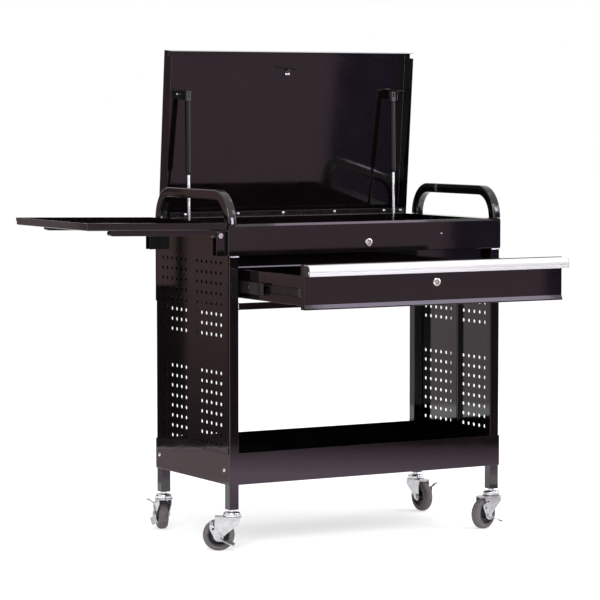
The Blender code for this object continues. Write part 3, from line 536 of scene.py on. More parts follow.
def slab(name, x, y, z, body, paint, edge, segments=2):
    """A plate between two places on each axis, with soft edges, seated on its body."""
    plate = block(name, (x[0], y[0], z[0]), (x[1], y[1], z[1]))
    soften(plate, edge, segments)
    seat(move(plate, to_cart()), body, paint)


def node_copy(node):
    """A merged copy of a solid, to be rounded and finished; it is already in place."""
    obj = bpy.data.objects.new(node + "_finished", NODES[node].data.copy())
    bpy.context.scene.collection.objects.link(obj)
    edit_all(obj)
    bpy.ops.mesh.remove_doubles(threshold=1e-6)
    bpy.ops.mesh.dissolve_limited(angle_limit=math.radians(0.1))
    done()
    if obj.data.has_custom_normals:
        bpy.ops.mesh.customdata_custom_splitnormals_clear()
    return obj


def rounded_copy(node, body, paint, width, segments=2):
    obj = node_copy(node)
    soften(obj, width, segments)
    seat(obj, body, paint, node)


def make_tray():
    """The folded lower tray, open above, with bent corners."""
    corner, bend, edge = 0.0030, 0.0020, 0.0005
    tray = block("lower_tray_pan", (-HALF_W, -HALF_D, Z_TRAY), (HALF_W, HALF_D, Z_TRAY_TOP))
    drop_faces(tray, lambda middle, aim: aim.z > ALIGNED)
    round_edges(tray, corner, 4, lambda middle, aim: abs(aim.z) > ALIGNED)
    round_edges(tray, bend, 3, lambda middle, aim: middle.z < Z_TRAY + HAIR)
    shell(tray, SHEET)
    soften(tray, edge, 2, 60)
    seat(move(tray, to_cart()), "frame", ENAMEL, "lower_tray")


def make_chest_front():
    """The chest's front panel, folded back at the top over a slanted bend."""
    fold_back, slant, bend, edge = 0.0080, 0.0052, 0.0016, 0.0004
    face = -HALF_D + NEAR
    panel = block("chest_front_sheet", (-HALF_W, -HALF_D, Z_CHEST), (HALF_W, -HALF_D + fold_back, Z_TOP))
    drop_faces(panel, lambda middle, aim: aim.y > ALIGNED)
    round_edges(panel, slant, 1, lambda middle, aim: abs(aim.x) > ALIGNED and middle.y < face
                and middle.z > Z_TOP - NEAR)
    round_edges(panel, bend, 3, lambda middle, aim: abs(aim.x) > ALIGNED and middle.y < face
                and middle.z < Z_CHEST + NEAR)
    round_edges(panel, bend, 3, lambda middle, aim: abs(aim.z) > ALIGNED and middle.y < face
                and abs(middle.x) > HALF_W - HAIR)
    shell(panel, SHEET)
    soften(panel, edge, 2, 50)
    seat(move(panel, to_cart()), "frame", ENAMEL, "chest_front_panel")


def hole_punches():
    """One punch per hole of a side panel, repeated by rows, columns and blocks."""
    through = 0.0050
    deselect()
    bpy.ops.mesh.primitive_cylinder_add(vertices=20, radius=HOLE_RADIUS, depth=through,
                                        rotation=(0, math.radians(90), 0))
    bpy.ops.object.transform_apply(location=True, rotation=True, scale=True)
    punch = bpy.context.object
    repeat(punch, HOLE_COLUMNS, (0, HOLE_ACROSS, 0))
    repeat(punch, HOLE_ROWS, (0, 0, -HOLE_DOWN))
    middle = (PANEL_IN + PANEL_OUT) / 2
    block_width = (HOLE_COLUMNS - 1) * HOLE_ACROSS
    blocks = []
    for top in HOLE_TOPS:
        for first in (HOLE_FROM_MIDDLE, -HOLE_FROM_MIDDLE - block_width):
            blocks.append(another(punch, "punch", Matrix.Translation((middle, first, top))))
    bpy.data.objects.remove(punch)
    return merge("panel_punches", *blocks)


def make_panel(side, name):
    """A perforated side panel with a pressed rib up its middle."""
    half = HALF_D - 0.0065
    low_z, top_z = Z_TRAY + 0.0024, Z_TOP - 0.0015
    panel = block("side_panel_" + name + "_sheet", (PANEL_IN, -half, low_z), (PANEL_OUT, half, top_z))
    cut(panel, hole_punches())
    rib_half, rib_low, sunk = 0.0150, Z_TRAY + 0.0370, 0.0004
    rib_face = PANEL_IN - 0.0100
    rib = block("rib", (rib_face, -rib_half, rib_low), (PANEL_IN + sunk, rib_half, Z_CHEST))
    round_edges(rib, 0.0030, 3, lambda middle, aim: abs(aim.z) > ALIGNED and middle.x < rib_face + NEAR)
    soften(rib, 0.0006)
    panel = merge(panel.name, panel, rib)
    shade(panel)
    turn = turn_by(180 if side < 0 else 0, "Z")
    seat(move(panel, to_cart() @ turn), "frame", ENAMEL, "side_panel_" + name)


def handle_path():
    """Points along the middle of a handle bar, from the front foot to the rear foot."""
    steps = 16
    radius = HANDLE_BEND - HANDLE_DEEP / 2
    rise = HANDLE_HIGH - HANDLE_DEEP / 2
    points = []
    for side in (-1, 1):
        for step in range(steps + 1):
            turn = math.radians(90 * step / steps)
            turn = turn if side < 0 else math.pi / 2 - turn
            y = side * (HALF_D - HANDLE_BEND) + side * radius * math.cos(turn)
            points.append((0, y, Z_TOP + CLEAR + rise * math.sin(turn)))
    return points


def rounded_section(wide, deep, corner):
    """Points round a rectangle with round corners."""
    points = []
    for quarter, (sx, sy) in enumerate(((1, 1), (-1, 1), (-1, -1), (1, -1))):
        for step in range(6):
            turn = math.radians(90 * quarter + 18 * step)
            x = sx * (wide / 2 - corner) + corner * math.cos(turn)
            points.append((x, sy * (deep / 2 - corner) + corner * math.sin(turn), 0))
    return points


def straight_curve(points, dimensions, closed):
    """A curve that runs straight from each point to the next."""
    deselect()
    bpy.ops.curve.primitive_bezier_curve_add()
    curve = bpy.context.object
    curve.data.splines.clear()
    curve.data.dimensions = dimensions
    line = curve.data.splines.new("POLY")
    line.points.add(len(points) - 1)
    for place, point in zip(line.points, points):
        place.co = (*point, 1)
    line.use_cyclic_u = closed
    return curve


def swept(name, path, section_points):
    """A bar with a given section, swept along a path."""
    section = straight_curve(section_points, "2D", True)
    section.data.fill_mode = "NONE"
    bar = straight_curve(path, "3D", False)
    bar.data.bevel_mode = "OBJECT"
    bar.data.bevel_object = section
    bar.data.use_fill_caps = True
    work_on(bar)
    bpy.ops.object.convert(target="MESH")
    bpy.data.objects.remove(section)
    bar = bpy.context.object
    bar.name = name
    edit_all(bar)
    bpy.ops.mesh.remove_doubles(threshold=1e-6)
    bpy.ops.mesh.normals_make_consistent(inside=False)
    done()
    shade(bar, 40)
    return bar


def make_handles():
    """Two bent bars of square tube that stand on the chest's side ledges."""
    bar = swept("handle_left_bar", handle_path(), rounded_section(HANDLE_WIDE, HANDLE_DEEP, 0.0032))
    out = HALF_W - HANDLE_WIDE / 2
    right = another(bar, "handle_right_bar", to_cart((out, 0, 0)))
    seat(move(bar, to_cart((-out, 0, 0))), "frame", ENAMEL, "handle_left")
    seat(right, "frame", ENAMEL, "handle_right")


def make_pull():
    """The aluminium pull: a rounded apron with a groove, open behind and below."""
    half = PULL_HALF - PULL_CAP
    pull = block("drawer_pull_extrusion", (-half, PULL_FRONT, PULL_LOW), (half, PULL_BACK, PULL_TOP))
    drop_faces(pull, lambda middle, aim: aim.y > ALIGNED or aim.z < -ALIGNED or abs(aim.x) > ALIGNED)
    round_edges(pull, 0.0110, 10, lambda middle, aim: abs(aim.x) > ALIGNED
                and middle.y < PULL_FRONT + NEAR and middle.z > PULL_TOP - NEAR)
    groove, groove_tall, groove_deep = PULL_LOW + 0.0070, 0.0020, 0.0016
    groove_top = groove + groove_tall
    for height in (groove, groove_top):
        slice_at(pull, (0, 0, height), (0, 0, 1))
    pick(pull, "FACE", lambda middle, aim: groove < middle.z < groove_top and middle.y < PULL_FRONT + NEAR)
    pull_out((0, groove_deep, 0))
    done()
    shell(pull, 0.0020)
    soften(pull, 0.0003, 2, 50)
    seat(move(pull, to_cart()), "drawer", ALUMINIUM, "drawer_pull")


def make_pull_caps():
    """The moulded caps on the pull's two ends, a little smaller than its section."""
    inset = 0.0004
    front, low, top = PULL_FRONT + inset, PULL_LOW + inset, PULL_TOP - inset
    for name, side in SIDES.items():
        x = span(side, PULL_HALF - PULL_CAP, PULL_HALF)
        cap = block("drawer_pull_cap_" + name, (x[0], front, low), (x[1], PULL_BACK, top))
        round_edges(cap, 0.0100, 8, lambda middle, aim: abs(aim.x) > ALIGNED
                    and middle.y < front + NEAR and middle.z > top - NEAR)
        soften(cap, 0.0003)
        seat(move(cap, to_cart()), "drawer", NYLON)


def lock_pieces(name, place, fixed_on, depth):
    """A fixed chrome bezel, and a turning plug with a key slot and its cam."""
    facing = to_cart(place) @ turn_by(90, "X")
    bezel = [(0.0064, 0), (0.0100, 0), (0.0100, 0.0012), (0.0092, 0.0026), (0.0075, 0.0032), (0.0064, 0.0026)]
    ring = turned(name + "_bezel", bezel, 40, True)
    seat(move(ring, facing), fixed_on, CHROME)
    core = [(0, -depth), (0.0060, -depth), (0.0060, 0.0018), (0.0054, 0.0024), (0, 0.0024)]
    plug = turned("plug", core, 32)
    cut(plug, block("key_slot", (-0.0009, -0.0036, 0.0008), (0.0009, 0.0036, 0.0040)))
    cam = block("cam", (-0.0050, -0.0050, -depth), (0.0340, 0.0050, -depth + 0.0020))
    round_edges(cam, 0.0048, 6, lambda middle, aim: abs(aim.z) > ALIGNED)
    soften(cam, 0.0003)
    plug = merge(name + "_plug", plug, cam)
    seat(move(plug, facing), name, CHROME, name)


def make_lid():
    """The lid's pan, drawn shut with the hinge pin at the origin and then swung open."""
    half, length, height, edge, hem = 0.3475, 0.4115, 0.0440, 0.0035, 0.0145
    notch_y, notch_z = -length + 0.0130, edge + 0.0170
    lid = block("lid_pan", (-half, -length, edge), (half, 0, height))
    drop_faces(lid, lambda middle, aim: aim.z < -ALIGNED)
    slice_at(lid, (0, notch_y, 0), (0, 1, 0))
    slice_at(lid, (0, 0, notch_z), (0, 0, 1))
    drop_faces(lid, lambda middle, aim: abs(aim.x) > ALIGNED and middle.y < notch_y and middle.z < notch_z)
    pick(lid, "EDGE", lambda middle, aim: abs(aim.x) > ALIGNED and middle.y > -NEAR
         and middle.z < edge + NEAR)
    pull_out((0, -hem, 0))
    done()
    round_edges(lid, 0.0018, 3, lambda middle, aim: middle.z > height - HAIR and abs(aim.z) < ACROSS and (
        abs(middle.x) > half - HAIR or middle.y < -length + HAIR or middle.y > -HAIR))
    shell(lid, 0.0010)
    soften(lid, 0.0003, 2, 60)
    seat(move(lid, on_lid()), "lid", ENAMEL, "lid")


def make_hinge():
    """The long hinge: two leaves with rolled knuckles that take turns along one pin."""
    pitch, radius, half, leaf_end = 0.0130, 0.0032, 0.3380, 0.0010
    leaf_deep = radius + CLEAR + 0.0110
    rolled = [(0, 0.0002), (0.0028, 0.0002), (radius, 0.0006), (radius, pitch - 0.0006),
              (0.0028, pitch - 0.0002), (0, pitch - 0.0002)]
    sets = ([], [])
    for index in range(int(2 * half / pitch)):
        place = Matrix.Translation((-half + index * pitch, 0, 0)) @ turn_by(90, "Y")
        sets[index % 2].append(move(turned("knuckle", rolled, 12), place))
    leaf = block("leaf", (-half, -radius, -leaf_deep), (half, -radius + 0.0010, -leaf_end))
    soften(leaf, 0.0003)
    chest_leaf = merge("hinge_chest_leaf_rolled", leaf, *sets[0])
    seat(move(chest_leaf, to_cart(PIN)), "frame", SATIN_BLACK, "hinge_chest_leaf")
    leaf = block("leaf", (-half, -leaf_deep, radius - 0.0015), (half, -leaf_end, radius))
    soften(leaf, 0.0006)
    lid_leaf = merge("hinge_lid_leaf_rolled", leaf, *sets[1])
    seat(move(lid_leaf, on_lid()), "lid", SATIN_BLACK, "hinge_lid_leaf")


def make_striker():
    """The latch tongue on the lid, with a slot for the lock's cam."""
    far, top, half, thick = -0.3700, 0.0427, 0.0070, 0.0020
    tip = top - 0.0550
    tongue = block("lid_striker_tongue", (-half, far, tip), (half, far + thick, top))
    cut(tongue, block("slot", (-0.0040, far - 0.002, tip + 0.004), (0.0040, far + 0.004, tip + 0.016)))
    cut(tongue, block("foot", (-half, far, top - thick), (half, far + 0.0200, top)), "UNION")
    soften(tongue, 0.0004)
    seat(move(tongue, on_lid()), "lid", SATIN_BLACK, "lid_striker")


def strut_stud(name, side, height):
    """The ball stud that joins a strut's end to its bracket."""
    pin = [(0, 0), (0.0035, 0), (0.0035, 0.0070), (0.0030, 0.0077), (0, 0.0077)]
    return move(turned(name, pin, 16), Matrix.Translation((0, 0, height)) @ turn_by(side * 90, "Y"))


def strut_socket(name, low):
    """The moulded socket on a strut's upper end: a rounded block with a clip slot in its front."""
    half = 0.0067
    top = low + 0.0238
    socket = block(name, (-half, -half, low), (half, half, top))
    round_edges(socket, 0.0030, 4, lambda middle, aim: abs(aim.z) > ALIGNED)
    cut(socket, block("slot", (-0.0030, -half - 0.002, low + 0.0105), (0.0006, -half + 0.0050, top - 0.0030)))
    soften(socket, 0.0007, 2, 40)
    return socket


def make_strut(side, name):
    """A gas strut: bright rod with an eye below, black tube with a collar, and a moulded socket above."""
    place = to_cart((side * STRUT_X, STRUT_FOOT.y, STRUT_FOOT.z)) @ turn_by(STRUT_LEAN, "X")
    piston = turned("piston", [(0, 0.0200), (0.0040, 0.0200), (0.0040, 0.2420), (0, 0.2420)], 24)
    end_fitting = [(0, -0.0060), (0.0035, -0.0060), (0.0058, -0.0035), (0.0060, 0.0180), (0.0045, 0.0250),
                   (0.0040, 0.0252), (0, 0.0252)]
    eye = turned("eye", end_fitting, 24)
    rod = merge("strut_rod_" + name + "_plated", piston, eye, strut_stud("stud", side, 0))
    seat(move(rod, place), "strut_rod_" + name, STEEL, "strut_rod_" + name)
    body = "strut_cylinder_" + name
    low, end = 0.1520, STRUT_LENGTH - 0.0150
    bore, neck, collar, outer = 0.0043, 0.0062, 0.0058, 0.0072
    wall = [(bore, low), (0.0056, low), (collar, low + 0.0010), (collar, low + 0.0050), (outer, low + 0.0062),
            (outer, end - 0.0030), (neck, end - 0.0018), (neck, end), (bore, end)]
    tube = turned(body + "_tube", wall, 32, True)
    seat(move(tube, place), body, STRUT_BLACK, body)
    socket = strut_socket("strut_socket_" + name, end + CLEAR)
    seat(move(socket, place), body, GREY_NYLON)
    seat(move(strut_stud("strut_stud_" + name, side, STRUT_LENGTH), place), body, STEEL)


def make_shelf():
    """The side shelf: a shallow tray with round corners, its rim folded out and down into a lip."""
    right, half, base = 0.0118, 0.1980, 0.0142
    left, top = right - 0.3615, base + 0.0163
    lip_out, lip_deep = 0.0022, 0.0085
    inner = (right - lip_out, half - lip_out)
    tray = block("shelf_tray_pan", (left + lip_out, -inner[1], base), (inner[0], inner[1], top))
    drop_faces(tray, lambda middle, aim: aim.z > ALIGNED)
    round_edges(tray, 0.0025, 4, lambda middle, aim: abs(aim.z) > ALIGNED)
    round_edges(tray, 0.0020, 3, lambda middle, aim: middle.z < base + HAIR)
    pick(tray, "EDGE", lambda middle, aim: middle.z > top - HAIR)
    pull_out((0, 0, 0))
    wider = ((right - left) / (right - left - 2 * lip_out), half / (half - lip_out), 1)
    bpy.ops.transform.resize(value=wider, center_override=((left + right) / 2, 0, top))
    pull_out((0, 0, -lip_deep))
    bpy.ops.mesh.select_all(action="SELECT")
    bpy.ops.mesh.normals_make_consistent(inside=False)
    done()
    shell(tray, SHEET)
    soften(tray, 0.0007, 2, 60)
    seat(move(tray, to_cart(SHELF_PIVOT) @ turn_by(SHELF_TILT, "Y")), "shelf", ENAMEL, "shelf_tray")


def make_drawer_front():
    """The drawer's front, with the nose of its bead drawn down so that a long slope shows under the pull."""
    front = node_copy("drawer_front")
    nose, lowest_edge = CENTRE.y + FACE_Y - 0.0035, 0.5900
    shift_edges(front, (0, 0.0010, 0), lambda middle, aim: abs(aim.x) > ALIGNED and middle.y < nose)
    shift_edges(front, (0, 0, -0.0032), lambda middle, aim: abs(aim.x) > ALIGNED and middle.y < nose
                and middle.z > lowest_edge)
    soften(front, 0.0005, 3, 30, 15)
    seat(front, "drawer", ENAMEL, "drawer_front")


def wheel_masters():
    """One tyre with a rounded tread and one wheel centre, drawn about Z."""
    bend, steps = math.radians(75), 10
    shoulder, crown, half_wide = 0.0310, 0.0065, 0.0120
    tread = [(0.0263, 0.0117), (0.0268, half_wide)]
    for step in range(steps + 1):
        turn = bend * step / steps
        tread.append((shoulder + crown * math.sin(turn) / math.sin(bend), half_wide * math.cos(turn)))
    centre = [(0.0043, 0.0135), (0.0095, 0.0135), (0.0104, 0.0128), (0.0112, 0.0070), (0.0130, 0.0050),
              (0.0196, 0.0050), (0.0212, 0.0064), (0.0220, 0.0112), (0.0232, 0.0120), (0.0260, 0.0118)]
    return turned("tyre", both_ways(tread), 64, True), turned("hub", both_ways(centre), 48, True)


def cup_master():
    """One raceway cup with its plug, drawn about the swivel's axis."""
    profile = [(0, 0.0762), (0.0084, 0.0762), (0.0084, 0.0777), (0.0060, 0.0777), (0.0060, 0.0815),
               (0.0205, 0.0815), (0.0215, 0.0825), (0.0215, 0.0860), (0.0206, 0.0868), (0.0206, 0.0878),
               (0.0198, 0.0900), (0.0170, 0.0920), (0.0110, 0.0930), (0.0075, 0.0930), (0.0075, 0.0975),
               (0.0102, 0.0975), (0.0102, 0.1225), (0, 0.1225)]
    return turned("cup", profile, 40)


def brake_plate(near, far):
    """The stamped plate of a brake rocker, with a hole for the axle and one for a rivet."""
    outline = [(0.0215, 0.0270), (0.0208, 0.0130), (0.0135, 0.0010), (0.0098, -0.0090), (0.0035, -0.0132),
               (-0.0085, -0.0142), (-0.0130, -0.0110), (-0.0115, -0.0015), (-0.0020, 0.0085),
               (0.0090, 0.0190), (0.0148, 0.0285)]
    plate = drawn_out("rocker", outline, "Y", (near, far), True)
    round_edges(plate, 0.0022, 3, lambda middle, aim: abs(aim.y) > ALIGNED)
    for x, z, radius in ((0, 0, 0.0044), (0.0128, 0.0160, 0.0026)):
        deselect()
        middle = (x, (near + far) / 2, z)
        bpy.ops.mesh.primitive_cylinder_add(vertices=24, radius=radius, depth=0.010, location=middle,
                                            rotation=(math.radians(90), 0, 0))
        cut(plate, bpy.context.object)
    soften(plate, 0.0005, 2, 40)
    return plate


def brake_pedal(near, far):
    """The tread that the foot presses, its outer edge bent down."""
    reach, droop = 0.0115, 0.0060
    line = [(-0.0050, -0.0030), (-0.0120, -0.0062), (-0.0230, -0.0118), (-0.0300, -0.0142),
            (-0.0345, -0.0158), (-0.0385, -0.0188)]
    pedal = ribbon("pedal", line, "Y", (near, far + reach), 0.0018)
    round_edges(pedal, 0.0040, 4, lambda middle, aim: middle.x < -0.038 and abs(aim.y) < ACROSS)
    shift_edges(pedal, (0, 0, -droop), lambda middle, aim: middle.y > far + reach - NEAR / 2
                and abs(aim.y) < ACROSS)
    soften(pedal, 0.0005, 2, 40)
    return pedal


def brake_horn(near):
    """The horn that lifts the brake, crowned along its middle."""
    left, right, crown = 0.0130, 0.0212, 0.0030
    ridge = (left + right) / 2
    line = [(near, 0.0236), (0.0212, 0.0262), (0.0252, 0.0296), (0.0292, 0.0320), (0.0326, 0.0330),
            (0.0352, 0.0326)]
    horn = ribbon("horn", line, "X", (left, right), 0.0018)
    slice_at(horn, (ridge, 0, 0), (1, 0, 0))
    shift_edges(horn, (0, 0, crown), lambda middle, aim: abs(middle.x - ridge) < NEAR / 2
                and abs(aim.x) < ACROSS)
    soften(horn, 0.0005, 2, 40)
    return horn


def brake_master():
    """A stamped rocker round the axle, with a horn to lift it and a pedal to press it."""
    near, far, sunk = 0.0169, 0.0189, 0.0002
    return merge("brake", brake_plate(near, far), brake_pedal(near + sunk, far), brake_horn(near + sunk))


def make_casters():
    """Four casters from one set of pieces, each turned to its own heading."""
    tyre, hub = wheel_masters()
    cup, brake = cup_master(), brake_master()
    for corner, heading in HEADINGS.items():
        x = POST_X if corner[1] == "r" else -POST_X
        y = POST_Y if corner[0] == "r" else -POST_Y
        swivel = to_cart((x, y, 0)) @ turn_by(heading, "Z")
        axle = swivel @ Matrix.Translation((TRAIL, 0, AXLE_Z))
        upright = axle @ turn_by(90, "X")
        for part, master, finish, place, body, paint in (
                ("tyre", tyre, "_moulded", upright, "caster_wheel_" + corner, RUBBER),
                ("hub", hub, "_moulded", upright, "caster_wheel_" + corner, NYLON),
                ("cup", cup, "_spun", swivel, "frame", BRIGHT_ZINC),
                ("brake", brake, "_stamped", axle, "caster_brake_" + corner, ZINC)):
            node = "caster_" + part + "_" + corner
            seat(another(master, node + finish, place), body, paint, node)
        rounded_copy("caster_fork_" + corner, "caster_swivel_" + corner, ZINC, 0.0009, 3)
    for master in (tyre, hub, cup, brake):
        bpy.data.objects.remove(master)


def slide_bumper_highlight(name, side, run):
    """A thin zinc arc over the back of a slide's bumper: a painted highlight along the black bumper's curved
    top.
    """
    radius, y, z, wire = 0.0085, run + 0.0230, 0.6245, 0.0012
    lip = []
    for step in range(9):
        turn = math.radians(20 + 15 * step)
        lip.append((y + radius * math.cos(turn), z + radius * math.sin(turn)))
    # The zinc arc is a painted highlight: the light line along the bumper's curved edge
    highlight_arc = ribbon("slide_bumper_highlight_" + name, lip, "X", span(side, 0.3400, 0.3400 + wire), wire)
    seat(move(highlight_arc, to_cart()), "drawer", ZINC)


def make_slide_details():
    """What shows on the open slides: end rings and ball cages, bumpers, and the drawer walls' folded hems."""
    run = FACE_Y + 0.0163
    front = -HALF_D + 0.0405 - DRAWER_OUT / 2
    edge = 0.00015
    for name, side in SIDES.items():
        wall = span(side, 0.3384, 0.3394)
        bumper = span(side, 0.3400, 0.3470)
        film = span(side, 0.3496, 0.3500)
        middle = "slide_middle_" + name
        slab("drawer_wall_hem_" + name, wall, (run, run + 0.3396), (0.6565, 0.6620), "drawer", ENAMEL, 0.0004)
        slab("slide_bumper_" + name, bumper, (run + 0.0002, run + 0.0200), (0.6140, 0.6310), "drawer", NYLON,
             0.0016, 3)
        slide_bumper_highlight(name, side, run)
        slab("slide_end_ring_" + name, film, (front, front + 0.0150), SLIDE_Z, middle, NYLON, edge)
        slab("slide_ball_cage_" + name, film, (front + 0.0290, front + 0.0680), SLIDE_Z, middle, NYLON, edge)
        slab("slide_stop_tab_" + name, film, (front + 0.0690, front + 0.0725), (0.6190, 0.6270), middle, ZINC,
             edge)


def make_chest_trim():
    """The hem under the chest's recess, flanges behind the front posts, and zinc strips on the front posts'
    tops that paint in a highlight line.
    """
    half, front, low, top, lean = 0.3515, -0.1676, 0.6652, 0.6684, 0.00136
    hem = block("chest_recess_hem", (-half, front, low), (half, front + 0.0024, top))
    shift_edges(hem, (0, lean, 0), lambda middle, aim: middle.y < front + NEAR / 2
                and middle.z > top - NEAR / 2)
    soften(hem, 0.0003, 2, 30, 15)
    seat(move(hem, to_cart()), "frame", ENAMEL)
    highlight_strip_top = 0.6946
    for name, side in SIDES.items():
        slab("bay_flange_" + name, span(side, 0.3534, 0.3779), (-0.1637, -0.1625), (0.5710, 0.6900), "frame",
             ENAMEL, 0.0002, 1)
        # A thin zinc strip on each front post's top: a painted highlight, a bright line where the black post
        # only catches the light
        x = span(side, 0.3540, 0.3775)
        highlight_strip = block("post_highlight_strip_" + name, (x[0], -HALF_D - 0.0018, 0.6920), (x[1], -HALF_D + 0.0012, highlight_strip_top))
        round_edges(highlight_strip, 0.0026, 4, lambda middle, aim: abs(aim.x) > ALIGNED and middle.y < -HALF_D
                    and middle.z > highlight_strip_top - NEAR / 2)
        soften(highlight_strip, 0.0003)
        seat(move(highlight_strip, to_cart()), "frame", ZINC)


def screw_head(radius, height):
    """A pan-head screw with a shallow driver recess, its axis along Z."""
    shares = [(0, 0.35), (0.30, 0.40), (0.38, 1), (0.70, 0.92), (0.94, 0.55), (1, 0), (0, 0)]
    return turned("screw", [(radius * across, height * up) for across, up in shares], 20)


def set_screws(name, body, radius, height, place, turn, spots):
    """Copies of one screw head at several spots, joined into one piece."""
    master = screw_head(radius, height)
    heads = [another(master, "head", place @ Matrix.Translation(spot) @ turn) for spot in spots]
    bpy.data.objects.remove(master)
    seat(merge(name, *heads), body, BRIGHT_ZINC)


def make_fasteners():
    """The screws, bolts and rivets of the hinge, striker, struts, tray, slides and chest front."""
    down, forward, backward = turn_by(180, "X"), turn_by(90, "X"), turn_by(-90, "X")
    leaf_under, rivet_y, bracket = 0.0017, -0.3540, (0.3080, -0.3040)
    spots = [(x, -0.0085, leaf_under) for x in (-0.295, -0.147, -0.018, 0.132, 0.279, 0.3285)]
    set_screws("hinge_lid_screws", "lid", 0.0041, 0.0017, on_lid(), down, spots)
    spots = [(x, -0.0024, -0.0090) for x in (-0.32, -0.16, 0, 0.16, 0.32)]
    set_screws("hinge_chest_screws", "frame", 0.0028, 0.0014, to_cart(PIN), backward, spots)
    spots = [(x, rivet_y, LID_INNER) for x in (-0.0036, 0.0036)]
    set_screws("striker_rivets", "lid", 0.0032, 0.0016, on_lid(), down, spots)
    for name, side in SIDES.items():
        outward = turn_by(side * 90, "Y")
        spots = [(side * bracket[0], bracket[1], LID_INNER)]
        set_screws("strut_bracket_screw_" + name, "lid", 0.0038, 0.0022, on_lid(), down, spots)
        spots = [(side * HALF_W, y, 0.1905) for y in (-0.168, 0.168)]
        set_screws("tray_bolts_" + name, "frame", 0.0050, 0.0028, to_cart(), outward, spots)
        spots = [(side * 0.3384, FACE_Y + 0.195, 0.6235)]
        set_screws("slide_screw_" + name, "drawer", 0.0034, 0.0012, to_cart(), outward, spots)
    spots = [(0.2073, -HALF_D, 0.7343)]
    set_screws("chest_front_rivet", "frame", 0.0020, 0.0010, to_cart(), forward, spots)


def keep_solids():
    """Solids whose shape is right keep it, with softened edges and a better finish."""
    for node in ("chest_box", "front_rail"):
        rounded_copy(node, "frame", ENAMEL, 0.0004)
    for corner in HEADINGS:
        rounded_copy("post_" + corner, "frame", ENAMEL, 0.0003)
    rounded_copy("drawer_box", "drawer", ENAMEL, 0.0003)
    for name in SIDES:
        rounded_copy("strut_bracket_" + name, "lid", ENAMEL, 0.0011, 3)
        rounded_copy("slide_outer_" + name, "frame", SATIN_BLACK, 0.0002)
        rounded_copy("slide_middle_" + name, "slide_middle_" + name, SATIN_BLACK, 0.0002)
        rounded_copy("slide_inner_" + name, "drawer", SATIN_BLACK, 0.0002)
    for end in ("front", "rear"):
        rounded_copy("shelf_arm_" + end, "shelf", ENAMEL, 0.0010, 3)
        rounded_copy("shelf_bracket_" + end, "frame", ENAMEL, 0.0007, 3)
        rounded_copy("shelf_bolt_" + end, "frame", BRIGHT_ZINC, 0.0012, 3)


def seen_directly(tree):
    """1 where the camera, or a mirror or glass in its view, looks straight at the surface."""
    ray = add(tree, "ShaderNodeLightPath").outputs
    links = {0: ray["Is Camera Ray"], 1: ray["Is Glossy Ray"]}
    mirrored = add(tree, "ShaderNodeMath", {"operation": "MAXIMUM"}, links).outputs[0]
    links = {0: mirrored, 1: ray["Is Transmission Ray"]}
    return add(tree, "ShaderNodeMath", {"operation": "MAXIMUM"}, links).outputs[0]


def make_floor():
    """A pale floor that looks white and keeps the cart's shadow."""
    deselect()
    bpy.ops.mesh.primitive_plane_add(size=60, location=(0, 0, -0.0002))
    floor = bpy.context.object
    floor.name = "floor"
    paint = bpy.data.materials.new("pale_floor")
    paint.use_nodes = True
    tree = paint.node_tree
    tree.nodes.clear()
    matt = add(tree, "ShaderNodeBsdfDiffuse", {"Color": srgb("#f2f2f2")}).outputs[0]
    glow = add(tree, "ShaderNodeEmission", {"Color": srgb("#ffffff"), "Strength": FLOOR_GLOW}).outputs[0]
    lit = add(tree, "ShaderNodeAddShader", None, {0: matt, 1: glow}).outputs[0]
    mix = add(tree, "ShaderNodeMixShader", None, {0: seen_directly(tree), 1: matt, 2: lit})
    add(tree, "ShaderNodeOutputMaterial", None, {"Surface": mix.outputs[0]})
    floor.data.materials.append(paint)


def make_world():
    """White behind the cart, and a plain soft light from all round."""
    world = bpy.data.worlds.new("studio")
    bpy.context.scene.world = world
    world.use_nodes = True
    tree = world.node_tree
    tree.nodes.clear()
    soft = add(tree, "ShaderNodeBackground", {"Color": srgb("#ffffff"), "Strength": SKY}).outputs[0]
    white = add(tree, "ShaderNodeBackground", {"Color": srgb("#ffffff"), "Strength": 1.0}).outputs[0]
    mix = add(tree, "ShaderNodeMixShader", None, {0: seen_directly(tree), 1: soft, 2: white})
    add(tree, "ShaderNodeOutputWorld", None, {"Surface": mix.outputs[0]})


def card_paint(name, low_tone, high_tone, strength, blend):
    """A glow that changes from one tone at the floor to another at the height of blend."""
    paint = bpy.data.materials.new(name)
    paint.use_nodes = True
    tree = paint.node_tree
    tree.nodes.clear()
    place = add(tree, "ShaderNodeNewGeometry").outputs["Position"]
    level = add(tree, "ShaderNodeSeparateXYZ", None, {"Vector": place}).outputs["Z"]
    share = add(tree, "ShaderNodeMapRange", {"From Min": 0.0, "From Max": blend}, {"Value": level})
    ramp = add(tree, "ShaderNodeValToRGB", None, {"Fac": share.outputs["Result"]})
    ramp.color_ramp.elements[0].color = srgb(low_tone)
    ramp.color_ramp.elements[1].color = srgb(high_tone)
    glow = add(tree, "ShaderNodeEmission", {"Strength": strength}, {"Color": ramp.outputs["Color"]})
    add(tree, "ShaderNodeOutputMaterial", None, {"Surface": glow.outputs[0]})
    return paint


def mirror_card(name, middle, turn, size, paint):
    """A plain card that only the glossy finishes mirror."""
    deselect()
    bpy.ops.mesh.primitive_plane_add(size=1, location=middle, rotation=turn)
    card = bpy.context.object
    card.name = name
    card.scale = (size[0], size[1], 1)
    card.data.materials.append(paint)
    card.visible_camera = False
    card.visible_diffuse = False
    card.visible_shadow = False


